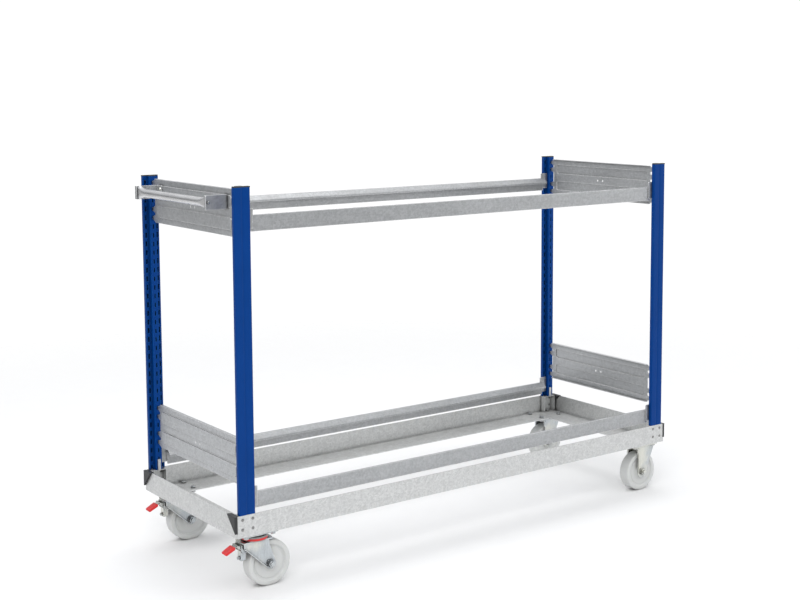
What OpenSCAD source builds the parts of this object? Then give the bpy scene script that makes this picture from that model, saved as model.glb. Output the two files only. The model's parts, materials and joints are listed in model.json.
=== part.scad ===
// Mobile two-tier tyre storage rack on a rolling chassis.
// +Z is up, X runs along the rack with the push handle at -X, -Y is the front.
// The origin is on the floor, under the middle of the whole rack.

/* [Rack] */
// distance between the centres of the left and right uprights
post_spacing = 1506; // [900:1:2200]
// depth of the rack over the outer faces of the uprights
rack_depth = 546; // [400:1:800]
// height of an upright without its cap
post_height = 850; // [500:25:1800]

/* [Uprights] */
// width of an upright's outer face
post_width = 47; // [40:1:60]
// depth of the wide outer part of the section
post_box_depth = 12; // [10:0.5:20]
// width of the narrow inner stem of the section
stem_width = 18; // [14:1:24]
// depth of the stem behind the wide part
stem_depth = 13; // [10:1:24]
// sheet thickness of an upright
post_wall = 2; // [1.5:0.1:3]
// width of the groove down the outer face
groove_width = 9; // [4:1:14]
// depth of that groove
groove_depth = 1.8; // [0.5:0.1:3]
// vertical distance from slot to slot
slot_pitch = 25; // [20:1:50]
// width of a hook slot
slot_width = 6; // [4:0.5:8]
// height of a hook slot
slot_height = 15; // [10:0.5:18]
// height of the lowest slot's centre above the foot of the upright
first_slot = 7; // [5:1:25]
// thickness of a cap's top plate
cap_plate = 3; // [2:0.5:6]
// depth of a cap's plug
cap_plug = 14; // [6:1:30]
// width of a tooth slot in the stem
tooth_slot_width = 4; // [3:0.5:6]
// height of a tooth slot in the stem
tooth_slot_height = 13; // [8:0.5:15]

/* [Tyre rails] */
// height of a rail's upright web
rail_height = 43; // [30:1:80]
// width of the flat top of a rail
rail_top = 8; // [4:1:20]
// run of the sloping tread
tread_run = 14; // [8:1:30]
// drop of the sloping tread
tread_drop = 13; // [6:1:30]
// height of the lip below the tread
rail_lip = 5; // [3:1:12]
// sheet thickness of a rail
rail_wall = 2; // [1.5:0.1:3]
// gap between the end of a rail and the side of the upright
rail_end_gap = 6.5; // [2:0.5:20]
// how far a rail reaches below its hook plates
rail_hang = 7.5; // [0:0.5:20]
// slot, counted from 0 at the foot, that the lower rails' lower hooks sit in
lower_rail_slot = 1; // [1:1:10]
// least distance from the top of the uprights down to the tops of the upper rails
rail_top_gap = 72.5; // [20:0.5:300]
// height of a rail's hook plate
hook_plate_height = 52; // [50:1:80]
// thickness of a hook plate
hook_plate = 2.5; // [2:0.5:4]
// overlap of a hook plate behind its rail
hook_overlap = 7; // [6:1:30]

/* [End panels] */
// height of an end panel
panel_height = 124; // [100:1:160]
// sheet thickness of an end panel
panel_wall = 1.5; // [1:0.1:3]
// gap between a panel's edge and the stem that its teeth reach across
panel_gap = 16; // [8:1:30]
// height of each raised field
field_height = 33; // [20:1:45]
// margin above and below the fields
field_margin = 17; // [10:1:30]
// how far a field stands proud
field_rise = 3; // [1:0.5:6]
// width of the folds along the top and bottom edges
panel_fold = 9; // [5:1:20]
// slot, counted from 0 at the foot, that the lower panels' lowest teeth sit in
lower_panel_slot = 3; // [1:1:12]
// least distance from the top of the uprights down to the tops of the upper panels
panel_top_gap = 6.5; // [2:0.5:200]

/* [Handle] */
// distance from the end of the raised field to the inside of a handle arm
arm_inset = 19; // [5:1:60]
// reach of the grip's centre line from the middle of the upright
handle_reach = 59; // [45:1:120]
// height of a handle arm
arm_height = 37; // [30:1:60]
// sheet thickness of an arm
arm_wall = 2.5; // [2:0.5:4]
// diameter of the middle of the grip
grip_diameter = 23; // [18:1:32]
// length of each flared end of the grip
flare_length = 40; // [20:1:80]

/* [Chassis] */
// height of the chassis sides
chassis_height = 59.5; // [50:0.5:90]
// width of the bottom flange all round
flange_width = 95; // [70:1:130]
// sheet thickness of the chassis
chassis_wall = 2.5; // [2:0.5:4]
// distance from the side of an upright to the outside of the end channel
end_gap = 8.5; // [6:0.5:40]
// how far the end channel's top corners are cut back
corner_cut = 44; // [30:1:60]
// height of the upright part left at the foot of that cut
corner_foot = 13; // [8:1:25]
// how far a corner bumper stands proud of the end channel
bumper_proud = 6; // [2:1:15]
// height of the tongue that holds the foot of an upright
tongue_height = 31; // [15:1:60]
// diameter of the rivets
rivet_diameter = 5; // [4:0.2:8]

/* [Casters] */
// diameter of a wheel
wheel_diameter = 125; // [100:1:125]
// tread width of a wheel
wheel_width = 37; // [30:1:40]
// height from the floor to the top of a caster plate
caster_height = 155; // [150:1:180]
// distance from a caster's middle to the outer face of the uprights
caster_inset = 43.5; // [43.5:0.5:80]
// distance from a caster's middle to the middle of the upright, along the rack
caster_set_back = 42; // [42:1:120]
// trail of the swivel casters
trail = 36; // [25:1:45]
// diameter of an axle
axle_diameter = 12; // [8:0.5:14]
// radial running clearance of bearings, kingpins and pedal pins
running_clearance = 0.05; // [0.02:0.01:0.1]
// gap between the two legs of a fork
fork_gap = 42; // [38:1:60]
// sheet thickness of a fork leg
fork_wall = 2.5; // [2:0.5:5]
// bolt spacing of the caster plates along the rack
bolt_spacing_x = 80; // [70:1:90]
// bolt spacing of the caster plates across the rack
bolt_spacing_y = 60; // [50:1:70]
// diameter of the caster bolts
bolt_diameter = 8; // [6:1:10]
// diameter of a swivel kingpin
kingpin_diameter = 14; // [10:1:18]
// diameter of a brake pedal's pin
pedal_pin_diameter = 6; // [4:0.5:8]

/* [Hidden] */
$fn = 48;
eps = 0.01;
LEFT = -1;
RIGHT = 1;
FRONT = -1;
REAR = 1;

plate_thickness = 3;
plate_length = bolt_spacing_x + 25;
plate_width = bolt_spacing_y + 25;
wheel_radius = wheel_diameter / 2;
hub_length = fork_gap - 2;
grip_half_depth = grip_diameter / 2;
flare_depth = 16;

end_reach = post_width / 2 + end_gap;
// the grip reaches further to the left than the bumpers do to the right
reach_left = handle_reach + grip_half_depth;
reach_right = end_reach + bumper_proud;
shift_x = (reach_left - reach_right) / 2;

half_depth = rack_depth / 2;
post_depth = post_box_depth + stem_depth;
chassis_bottom = caster_height;
chassis_top = chassis_bottom + chassis_height;
floor_of_chassis = chassis_bottom + chassis_wall;

slot_offset = (post_width + stem_width) / 4;
slot_count = floor((post_height - first_slot - slot_height / 2) / slot_pitch) + 1;
inner_face = half_depth - post_box_depth;
stem_face = half_depth - post_depth;

rail_face = inner_face - hook_plate;
rail_end = post_width / 2 + rail_end_gap;
panel_end = stem_face - panel_gap;
field_end = panel_end - 13;
field_corner = 8;
panel_pitches = floor((panel_height + 2) / slot_pitch);
tooth_rows = [0.5, 1.5, panel_pitches - 1.5, panel_pitches - 0.5];
field_centre = (panel_height - field_height) / 2 - field_margin;
tooth_height = 9;
tooth_base = 19;
tooth_entry = 6;

hook_rows = [lower_rail_slot, lower_rail_slot + 1];
hook_plate_rise = first_slot + hook_rows[0] * slot_pitch - slot_height;
lower_rail_rise = hook_plate_rise - rail_hang;
hook_width = 4;
hook_reach = 5;
hook_drop = 7;
hook_play = 0.3;

foot_wall = 2.5;
foot_depth = post_depth - chassis_wall;
rivet_rows = [22, chassis_height - 11.5];
rivet_columns = [-15, 15];

caster_y = half_depth - caster_inset;
ball_diameter = 8;
ball_ring = 26;
ball_count = 12;
bridge_top = caster_height - 23;
bridge_thickness = 4;
ball_play = 0.3;
race_bottom = bridge_top + ball_play + ball_diameter;
leg_outer = fork_gap / 2 + fork_wall;
fork_lip = 4.5;
lip_root = 1;
lip_inset = 0.4;
nut_height = 6.5;
bolt_head_height = 5.3;
bolt_flats = 1.6 * bolt_diameter;
pedal_x = -38;
pedal_z = bridge_top - 18;
cheek_gap = 30;
cheek_wall = 3;
cheek_outer = cheek_gap / 2 + cheek_wall;

function post_x(side) = shift_x + side * post_spacing / 2;

// the upper level hangs as high as the slots and the gaps at the top allow
lower_panel_rise = first_slot + (lower_panel_slot - 0.5) * slot_pitch;
level_slots = floor((post_height - rail_top_gap - rail_height - lower_rail_rise) / slot_pitch);
panel_slots = floor((post_height - panel_top_gap - panel_height - lower_panel_rise) / slot_pitch);
function level_rise(level) = level * level_slots * slot_pitch;
function panel_rise(level) = lower_panel_rise + level * panel_slots * slot_pitch;

// ---------------------------------------------------------------- node list

// ------------------------------------------------------------------ colours

module blue() color([0.06, 0.25, 0.58]) children();
module black() color([0.08, 0.08, 0.09]) children();
module galvanised() color([0.78, 0.80, 0.80]) children();
module sheet_grey() color([0.62, 0.64, 0.65]) children();
module zinc() color([0.72, 0.76, 0.80]) children();
module steel() color([0.45, 0.47, 0.50]) children();
module white() color([0.90, 0.90, 0.87]) children();
module red() color([0.80, 0.12, 0.14]) children();

// ------------------------------------------------------------ shape helpers

function unit(v) = v / norm(v);
function left_of(v) = [-v[1], v[0]];
function side_of(a, b) = left_of(unit(b - a));
function mitred(a, b, c, t) =
    let (n1 = side_of(a, b), n2 = side_of(b, c)) b + t * (n1 + n2) / (1 + n1 * n2);
function beside(path, t) = let (last = len(path) - 1) [
    for (i = [0 : last])
        i == 0 ? path[0] + t * side_of(path[0], path[1])
        : i == last ? path[last] + t * side_of(path[last - 1], path[last])
        : mitred(path[i - 1], path[i], path[i + 1], t)
];
function reversed(list) = [for (i = [len(list) - 1 : -1 : 0]) list[i]];

// a sheet of thickness t folded along a path, to the left of it
module folded(path, t) polygon(concat(path, reversed(beside(path, t))));

// the outline of two circles and their outer tangents
module tapered(p1, r1, p2, r2) {
    d = norm(p2 - p1);
    along = (p2 - p1) / d;
    sine = (r1 - r2) / d;
    cosine = sqrt(1 - sine * sine);
    upper = along * sine + left_of(along) * cosine;
    lower = along * sine - left_of(along) * cosine;
    translate(p1) circle(r = r1);
    translate(p2) circle(r = r2);
    polygon([p1 + r1 * upper, p1 + r1 * lower, p2 + r2 * lower, p2 + r2 * upper]);
}

// extrudes an outline drawn in X and Z through a thickness in Y, centred on Y
module across(thickness)
    rotate([90, 0, 0]) linear_extrude(height = thickness, center = true) children();

// extrudes an outline drawn in Y and Z along X, centred on X
module along(length)
    rotate([90, 0, 90]) linear_extrude(height = length, center = true) children();

module hexagon(flats, height) cylinder(d = flats / cos(30), h = height, $fn = 6);

module rounded_rectangle(size, r) {
    translate([-size[0] / 2 + r, -size[1] / 2]) square([size[0] - 2 * r, size[1]]);
    translate([-size[0] / 2, -size[1] / 2 + r]) square([size[0], size[1] - 2 * r]);
    for (x = [-1, 1], y = [-1, 1])
        translate([x * (size[0] / 2 - r), y * (size[1] / 2 - r)]) circle(r = r);
}

// puts its children at one upright: x from its middle towards the middle of the rack,
// y inward from its outer face and z up from its foot
module at_post(side, end)
    translate([post_x(side), end * half_depth, chassis_top])
        mirror([0, end > 0 ? 1 : 0, 0]) mirror([side > 0 ? 1 : 0, 0, 0]) children();

// puts its children at a caster: x and y from its middle, z from the floor
module at_caster(side, end)
    translate([post_x(side) - side * caster_set_back, end * caster_y, 0]) children();

// ----------------------------------------------------------------- uprights

function post_outline(inset) = let (
    half = post_width / 2 - inset,
    stem = stem_width / 2 - inset,
    back = post_box_depth - inset
) [
    [-half, inset], [-groove_width / 2, inset], [0, groove_depth + inset],
    [groove_width / 2, inset], [half, inset], [half, back], [stem, back],
    [stem, post_depth - inset], [-stem, post_depth - inset], [-stem, back], [-half, back]
];

module post_slots() {
    for (i = [0 : slot_count - 1]) translate([0, 0, first_slot + i * slot_pitch]) {
        for (x = [-1, 1])
            translate([x * slot_offset, post_box_depth - post_wall / 2, 0])
                cube([slot_width, post_wall + 1, slot_height], center = true);
        translate([0, post_depth - post_wall / 2, 0])
            cube([tooth_slot_width, post_wall + 1, tooth_slot_height], center = true);
    }
}

module upright(side, end) blue() at_post(side, end) difference() {
    linear_extrude(height = post_height) difference() {
        polygon(post_outline(0));
        polygon(post_outline(post_wall));
    }
    post_slots();
}

// the plug of a cap stays in the wide part, clear of the teeth in the stem
module cap_plug_section() intersection() {
    difference() {
        polygon(post_outline(post_wall));
        polygon(post_outline(2 * post_wall));
    }
    translate([-post_width / 2, 0]) square([post_width, post_box_depth - post_wall]);
}

module post_caps() black() for (side = [LEFT, RIGHT], end = [FRONT, REAR])
    at_post(side, end) translate([0, 0, post_height]) {
        linear_extrude(height = cap_plate) polygon(post_outline(0));
        translate([0, 0, -cap_plug]) linear_extrude(height = cap_plug + eps) cap_plug_section();
    }

// --------------------------------------------------------------- post feet

module foot_rivet_places() for (x = rivet_columns, z = rivet_rows)
    translate([x, 0, z - chassis_height]) rotate([-90, 0, 0]) children();

module post_foot(side, end) galvanised() at_post(side, end) difference() {
    union() {
        // the channel that stands on the chassis flange, open to the inside
        translate([0, chassis_wall, chassis_wall - chassis_height])
            linear_extrude(height = chassis_height - chassis_wall) difference() {
                translate([-post_width / 2, 0]) square([post_width, foot_depth]);
                translate([-post_width / 2 + foot_wall, foot_wall])
                    square([post_width - 2 * foot_wall, foot_depth]);
            }
        // the shelf under the upright and the tongue behind its stem
        translate([-post_width / 2, chassis_wall, -foot_wall])
            cube([post_width, foot_depth, foot_wall]);
        translate([-stem_width / 4, post_depth, -foot_wall])
            cube([stem_width / 2, foot_wall, tongue_height + foot_wall]);
    }
    foot_rivet_places() cylinder(d = rivet_diameter, h = 30, center = true);
}

module foot_rivets() zinc() for (side = [LEFT, RIGHT], end = [FRONT, REAR])
    at_post(side, end) foot_rivet_places() {
        head = 1.2;
        grip = chassis_wall + foot_wall;
        translate([0, 0, -head]) cylinder(d1 = rivet_diameter, d2 = 1.7 * rivet_diameter, h = head);
        translate([0, 0, -eps]) cylinder(d = rivet_diameter, h = grip + 2 * eps);
        translate([0, 0, grip]) cylinder(d = 1.4 * rivet_diameter, h = 2);
    }

// --------------------------------------------------------------- tyre rails

module rail_section() {
    top = rail_height;
    folded([
        [0, 0], [0, top], [rail_top, top], [rail_top + tread_run, top - tread_drop],
        [rail_top + tread_run, top - tread_drop - rail_lip]
    ], -rail_wall);
}

module rail(level, end) sheet_grey() {
    length = post_spacing - 2 * rail_end;
    corner = 9;
    translate([shift_x, end * rail_face, chassis_top + lower_rail_rise + level_rise(level)])
        mirror([0, end > 0 ? 1 : 0, 0]) difference() {
            along(length) rail_section();
            // the top corners at both ends are snipped off
            for (x = [-1, 1]) translate([x * length / 2, 0, rail_height])
                rotate([0, 45, 0]) cube([corner * sqrt(2), 3 * rail_wall, corner * sqrt(2)], center = true);
        }
}

module rail_hook(side, end) at_post(side, end) {
    near = stem_width / 2 + 0.5;
    far = post_width / 2 + rail_end_gap + hook_overlap;
    translate([near, post_box_depth, hook_plate_rise])
        cube([far - near, hook_plate, hook_plate_height]);
    for (row = hook_rows)
        translate([slot_offset - hook_width / 2, 0, first_slot + row * slot_pitch - slot_height / 2]) {
            translate([0, post_box_depth - hook_reach, 0])
                cube([hook_width, hook_reach + eps, slot_height - 5]);
            translate([0, post_box_depth - hook_reach, -hook_drop])
                cube([hook_width, hook_reach - post_wall - hook_play, hook_drop + 1]);
        }
}

module rail_hooks(level) sheet_grey() translate([0, 0, level_rise(level)])
    for (side = [LEFT, RIGHT], end = [FRONT, REAR]) rail_hook(side, end);

// --------------------------------------------------------------- end panels

module panel_fields(grow) for (z = [-1, 1]) translate([0, z * field_centre])
    rounded_rectangle([2 * field_end + 2 * grow, field_height + 2 * grow], field_corner + grow);

module panel_tooth() polygon([
    [panel_end - 2, -tooth_base / 2], [panel_end, -tooth_base / 2],
    [stem_face - 1, -tooth_height / 2], [stem_face + tooth_entry, -tooth_height / 2],
    [stem_face + tooth_entry, tooth_height / 2], [stem_face - 1, tooth_height / 2],
    [panel_end, tooth_base / 2], [panel_end - 2, tooth_base / 2]
]);

// drawn with the fields standing towards -X and its middle at the origin
module panel() {
    along(panel_wall) difference() {
        union() {
            square([2 * panel_end, panel_height], center = true);
            for (y = [0, 1], row = tooth_rows) mirror([y, 0])
                translate([0, row * slot_pitch - panel_height / 2]) panel_tooth();
        }
        panel_fields(-panel_wall);
        for (x = [-1, 1]) translate([12 * x, 0]) circle(r = 2.5);
    }
    translate([-field_rise, 0, 0]) along(panel_wall) panel_fields(0);
    translate([-field_rise / 2, 0, 0]) along(field_rise) difference() {
        panel_fields(0);
        panel_fields(-panel_wall);
    }
    for (z = [-1, 1])
        translate([(panel_fold - panel_wall) / 2, 0, z * (panel_height - panel_wall) / 2])
            cube([panel_fold, 2 * panel_end, panel_wall], center = true);
}

module end_panel(side, level) sheet_grey() difference() {
    translate([post_x(side), 0, chassis_top + panel_rise(level) + panel_height / 2])
        mirror([side > 0 ? 1 : 0, 0, 0]) panel();
    if (side == LEFT && level == 1)
        foot_screw_places() cylinder(d = screw_diameter, h = 20, center = true);
}

// ------------------------------------------------------------------- handle

handle_x = post_x(LEFT) - handle_reach;
handle_z = chassis_top + panel_rise(1) + panel_height / 2 + field_centre - arm_height / 2;
handle_span = 2 * (field_end - arm_inset);
field_face = post_x(LEFT) - field_rise - panel_wall / 2;
arm_foot = 24;
arm_lip = 10;
arm_tip = handle_x - grip_half_depth;
screw_diameter = 6;
foot_screw_rows = [10, 27];

grip_screw_depth = 10;
screw_head = 3.3;

// the screws through the arms' feet point along +X
module foot_screw_places() for (end = [FRONT, REAR], z = foot_screw_rows)
    translate([field_face, end * (handle_span / 2 - arm_foot + 9), handle_z + z])
        rotate([0, 90, 0]) children();

// the screws into the ends of the grip point towards its middle
module grip_screw_places() for (end = [FRONT, REAR])
    translate([handle_x, end * (handle_span / 2 + arm_wall), handle_z + arm_height / 2])
        rotate([end * 90, 0, 0]) children();

module handle_arm(end) sheet_grey() difference() {
    mirror([0, end > 0 ? 1 : 0, 0]) translate([0, -handle_span / 2, handle_z])
        linear_extrude(height = arm_height) folded([
            [arm_tip, -arm_lip], [arm_tip, 0], [field_face - arm_wall, 0],
            [field_face - arm_wall, arm_foot]
        ], -arm_wall);
    foot_screw_places() cylinder(d = screw_diameter, h = 20, center = true);
    grip_screw_places() cylinder(d = screw_diameter, h = 4 * arm_wall, center = true);
}

module flare(end) hull() {
    translate([0, end * (handle_span / 2 - flare_length), 0]) rotate([90, 0, 0])
        cylinder(d = grip_diameter, h = eps, center = true, $fn = 32);
    for (z = [-1, 1]) translate([0, end * (handle_span / 2 - 2), z * (arm_height - flare_depth) / 2])
        rotate([90, 0, 0]) cylinder(d = flare_depth, h = 4, center = true, $fn = 32);
}

module handle_grip() steel() difference() {
    translate([handle_x, 0, handle_z + arm_height / 2]) {
        rotate([90, 0, 0])
            cylinder(d = grip_diameter, h = handle_span - 2 * flare_length + 2 * eps, center = true);
        for (end = [FRONT, REAR]) flare(end);
    }
    grip_screw_places() cylinder(d = screw_diameter, h = 2 * (arm_wall + grip_screw_depth), center = true);
}

module button_head() cylinder(d1 = screw_diameter, d2 = 1.75 * screw_diameter, h = screw_head);

module handle_screws() zinc() {
    foot_screw_places() {
        translate([0, 0, -arm_wall - screw_head]) button_head();
        translate([0, 0, -arm_wall - eps]) cylinder(d = screw_diameter, h = arm_wall + panel_wall + 8);
        translate([0, 0, panel_wall]) hexagon(10, 5);
    }
    grip_screw_places() {
        translate([0, 0, -screw_head]) button_head();
        translate([0, 0, -eps]) cylinder(d = screw_diameter, h = arm_wall + grip_screw_depth);
    }
}

// ------------------------------------------------------------------ chassis

end_face = post_spacing / 2 + end_reach;
long_half = end_face - chassis_wall;
bumper_play = 0.5;
bumper_plug = end_gap - chassis_wall - bumper_play;

module caster_bolt_places() for (x = [-1, 1], y = [-1, 1])
    translate([x * bolt_spacing_x / 2, y * bolt_spacing_y / 2, 0]) children();

module long_channel(end) galvanised() difference() {
    translate([shift_x, end * half_depth, chassis_bottom]) mirror([0, end > 0 ? 1 : 0, 0])
        along(2 * long_half) folded([[0, chassis_height], [0, 0], [flange_width, 0]], chassis_wall);
    for (side = [LEFT, RIGHT]) {
        at_post(side, end) foot_rivet_places()
            cylinder(d = rivet_diameter, h = 30, center = true);
        at_caster(side, end) caster_bolt_places() translate([0, 0, chassis_bottom])
            cylinder(d = bolt_diameter, h = 20, center = true);
    }
}

// the end channel's face is cut back at both top corners
module end_face_outline() polygon([
    [-half_depth, 0], [half_depth, 0], [half_depth, corner_foot],
    [half_depth - corner_cut, chassis_height], [corner_cut - half_depth, chassis_height],
    [-half_depth, corner_foot]
]);

module end_channel(side) galvanised() translate([shift_x, 0, chassis_bottom])
    mirror([side > 0 ? 1 : 0, 0, 0]) {
        translate([-end_face + chassis_wall / 2, 0, 0]) along(chassis_wall) end_face_outline();
        translate([-long_half - eps, flange_width - half_depth, 0])
            cube([flange_width - chassis_wall, 2 * (half_depth - flange_width), chassis_wall]);
    }

module corner_outline(inset) polygon([
    [half_depth - corner_cut + inset, chassis_height], [half_depth - inset, chassis_height],
    [half_depth - inset, corner_foot + inset]
]);

module corner_bumpers() black() for (side = [LEFT, RIGHT], end = [FRONT, REAR])
    translate([shift_x, 0, chassis_bottom])
        mirror([side > 0 ? 1 : 0, 0, 0]) mirror([0, end > 0 ? 0 : 1, 0]) {
            thickness = chassis_wall + bumper_proud;
            translate([-long_half - thickness / 2, 0, 0]) along(thickness) corner_outline(0);
            translate([-long_half + bumper_plug / 2 - eps, 0, 0]) along(bumper_plug)
                corner_outline(chassis_wall);
        }

module caster_bolts() zinc() for (side = [LEFT, RIGHT], end = [FRONT, REAR])
    at_caster(side, end) caster_bolt_places() {
        below = plate_thickness + nut_height + 1.5;
        translate([0, 0, floor_of_chassis]) hexagon(bolt_flats, bolt_head_height);
        translate([0, 0, chassis_bottom - below])
            cylinder(d = bolt_diameter, h = below + chassis_wall + eps);
    }

module caster_nuts() zinc() for (side = [LEFT, RIGHT], end = [FRONT, REAR])
    at_caster(side, end) caster_bolt_places()
        translate([0, 0, chassis_bottom - plate_thickness - nut_height]) difference() {
            hexagon(bolt_flats, nut_height);
            cylinder(d = bolt_diameter, h = 3 * nut_height, center = true);
        }

// ------------------------------------------------------------------ casters

plate_corner = 8;
boss_radius = 15;
bush_wall = 4;
kingpin_head = 22;
kingpin_head_height = 4;
kingpin_play = 0.3;
seal_wall = 4;
axle_flats = 18;
race_radius = ball_ring + 5;
bridge_bottom = bridge_top - bridge_thickness;

module caster_bolt_holes() caster_bolt_places()
    cylinder(d = bolt_diameter, h = 3 * caster_height, center = true);

module caster_plate() difference() {
    translate([0, 0, caster_height - plate_thickness]) linear_extrude(height = plate_thickness)
        rounded_rectangle([plate_length, plate_width], plate_corner);
    caster_bolt_holes();
}

// the kingpin is riveted into this plate and its upper race
module swivel_plate(end) zinc() at_caster(LEFT, end) difference() {
    union() {
        caster_plate();
        translate([0, 0, race_bottom])
            cylinder(r = race_radius, h = caster_height - plate_thickness - race_bottom + eps);
    }
    cylinder(d = kingpin_diameter, h = 3 * caster_height, center = true);
}

// the red seal ring and the balls behind it
module swivel_race(end) at_caster(LEFT, end) {
    red() translate([0, 0, bridge_top + 1]) difference() {
        cylinder(r = race_radius + seal_wall, h = race_bottom - bridge_top + 4);
        cylinder(r = race_radius, h = 4 * ball_diameter, center = true);
    }
    steel() for (i = [0 : ball_count - 1]) rotate([0, 0, i * 360 / ball_count])
        translate([ball_ring, 0, race_bottom - ball_diameter / 2]) sphere(d = ball_diameter);
}

module kingpin(end) steel() at_caster(LEFT, end) {
    head_top = bridge_bottom - kingpin_play;
    translate([0, 0, head_top]) cylinder(d = kingpin_diameter, h = caster_height - head_top);
    translate([0, 0, head_top - kingpin_head_height])
        cylinder(d = kingpin_head, h = kingpin_head_height + eps);
}

module fork_legs() for (y = [-1, 1])
    translate([0, y * (fork_gap + fork_wall) / 2, 0]) across(fork_wall) children();

// a lip along the back edge of both legs, turned outwards from inside the sheet
module fork_lips() for (y = [-1, 1])
    translate([0, y * (leg_outer + (fork_lip - lip_root) / 2), 0])
        across(fork_lip + lip_root) children();

module axle_hole(x) translate([x, 0, wheel_radius]) rotate([90, 0, 0])
    cylinder(d = axle_diameter, h = 3 * leg_outer, center = true);

module swivel_fork(end) zinc() at_caster(LEFT, end) difference() {
    bridge_radius = 48;
    corner = 5;
    back = [-38, bridge_top - 14];
    front = [27, bridge_top - 14];
    hub = [trail, wheel_radius];
    down = (hub - back) / norm(hub - back);
    turn = (corner - boss_radius) / norm(hub - back);
    outward = down * turn - left_of(down) * sqrt(1 - turn * turn);
    union() {
        translate([0, 0, bridge_bottom]) linear_extrude(height = bridge_thickness) intersection() {
            circle(r = bridge_radius);
            square([2 * bridge_radius, 2 * leg_outer], center = true);
        }
        fork_legs() {
            tapered(back, corner, hub, boss_radius);
            tapered(front, corner, hub, boss_radius);
            polygon([back, front, hub]);
            translate([back[0] - corner, back[1]])
                square([front[0] - back[0] + 2 * corner, bridge_top - back[1]]);
        }
        fork_lips() polygon([
            back + (corner - lip_inset) * outward, hub + (boss_radius - lip_inset) * outward,
            hub + (boss_radius - fork_wall) * outward, back + (corner - fork_wall) * outward
        ]);
    }
    cylinder(r = kingpin_diameter / 2 + running_clearance, h = 3 * caster_height, center = true);
    axle_hole(trail);
}

// the rigid fork's legs flare out towards the end of the rack
module rigid_fork(end) zinc() at_caster(RIGHT, end) difference() {
    foot = 20;
    flare_x = plate_length / 2 - 2;
    nut_clearance = 0.2;
    lip_gap = 15;
    union() {
        caster_plate();
        fork_legs() {
            translate([0, wheel_radius]) circle(r = foot);
            polygon([
                [-foot, wheel_radius], [foot, wheel_radius], [foot + 12, wheel_radius + 34],
                [flare_x, caster_height - 16], [flare_x, caster_height - 1],
                [-foot, caster_height - 1]
            ]);
        }
        fork_lips() translate([lip_inset - foot, wheel_radius])
            square([fork_wall - lip_inset, caster_height - lip_gap - wheel_radius]);
    }
    caster_bolt_places() translate([0, 0, caster_height - plate_thickness - 2 * nut_height])
        hexagon(bolt_flats + nut_clearance, 2 * nut_height);
    caster_bolt_holes();
    axle_hole(0);
}

// a bolt through both legs, with its nut at the front
module axle(x) translate([x, 0, wheel_radius]) rotate([90, 0, 0]) {
    translate([0, 0, -leg_outer - 7]) hexagon(axle_flats, 7);
    translate([0, 0, -leg_outer - eps]) cylinder(d = axle_diameter, h = 2 * leg_outer + 13);
    translate([0, 0, leg_outer]) cylinder(d = 1.3 * axle_flats, h = 1.5);
    translate([0, 0, leg_outer + 1.5 - eps]) hexagon(axle_flats, 8);
}

module wheel_profile() {
    bore = axle_diameter / 2 + running_clearance + bush_wall;
    hub = bore + 9;
    rim = wheel_radius - 17;
    edge = 6;
    web_half = wheel_width / 2 - 5;
    translate([bore, -hub_length / 2]) square([hub - bore, hub_length]);
    translate([bore, -web_half]) square([rim - bore + 1, 2 * web_half]);
    translate([rim, -wheel_width / 2]) square([wheel_radius - edge - rim, wheel_width]);
    translate([rim, edge - wheel_width / 2]) square([wheel_radius - rim, wheel_width - 2 * edge]);
    for (y = [-1, 1]) translate([wheel_radius - edge, y * (wheel_width / 2 - edge)])
        circle(r = edge);
}

module wheel(x) white() translate([x, 0, wheel_radius]) rotate([90, 0, 0])
    rotate_extrude($fn = 96) wheel_profile();

module bush(x) steel() translate([x, 0, wheel_radius]) rotate([90, 0, 0]) difference() {
    inner = axle_diameter / 2 + running_clearance;
    cylinder(r = inner + bush_wall, h = hub_length + 1, center = true);
    cylinder(r = inner, h = 2 * hub_length, center = true);
}

module swivel_axle(end) zinc() at_caster(LEFT, end) axle(trail);
module rigid_axle(end) zinc() at_caster(RIGHT, end) axle(0);
module swivel_wheel(end) at_caster(LEFT, end) wheel(trail);
module rigid_wheel(end) at_caster(RIGHT, end) wheel(0);
module swivel_bush(end) at_caster(LEFT, end) bush(trail);
module rigid_bush(end) at_caster(RIGHT, end) bush(0);

// -------------------------------------------------------------------- brake

pedal_eye = 8;
pedal_play = 0.4;
tip_width = 22;
tip_cover = 3;
// a pedal's knee, and the two ends of its red tip
pedal_knee = [-56, bridge_top - 8];
tip_root = [-66, bridge_top - 13];
tip_end = [-87, bridge_top - 23.5];

module pedal_hole(radius) translate([pedal_x, 0, pedal_z]) rotate([90, 0, 0])
    cylinder(r = radius, h = 3 * cheek_outer, center = true);

// a saddle under the fork's bridge, with the pedal's pin through its cheeks
module brake_bracket(end) steel() at_caster(LEFT, end) {
    back = 10;
    length = 24;
    saddle = 3;
    difference() {
        union() {
            translate([pedal_x - back, -cheek_outer, bridge_bottom - saddle])
                cube([length, 2 * cheek_outer, saddle]);
            for (y = [-1, 1]) translate([0, y * (cheek_gap + cheek_wall) / 2, 0]) across(cheek_wall) {
                translate([pedal_x, pedal_z]) circle(r = back);
                translate([pedal_x - back, pedal_z]) square([length, bridge_bottom - pedal_z]);
            }
        }
        pedal_hole(pedal_pin_diameter / 2);
    }
    translate([pedal_x, 0, pedal_z]) rotate([90, 0, 0])
        cylinder(d = pedal_pin_diameter, h = 2 * cheek_outer + 3, center = true);
}

module pedal_arm() across(cheek_gap - 2 * pedal_play)
    tapered([pedal_x, pedal_z], pedal_eye, pedal_knee, 2.5);

module pedal_core() across(tip_width - 2 * tip_cover) tapered(pedal_knee, 2, tip_end, 1.5);

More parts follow.
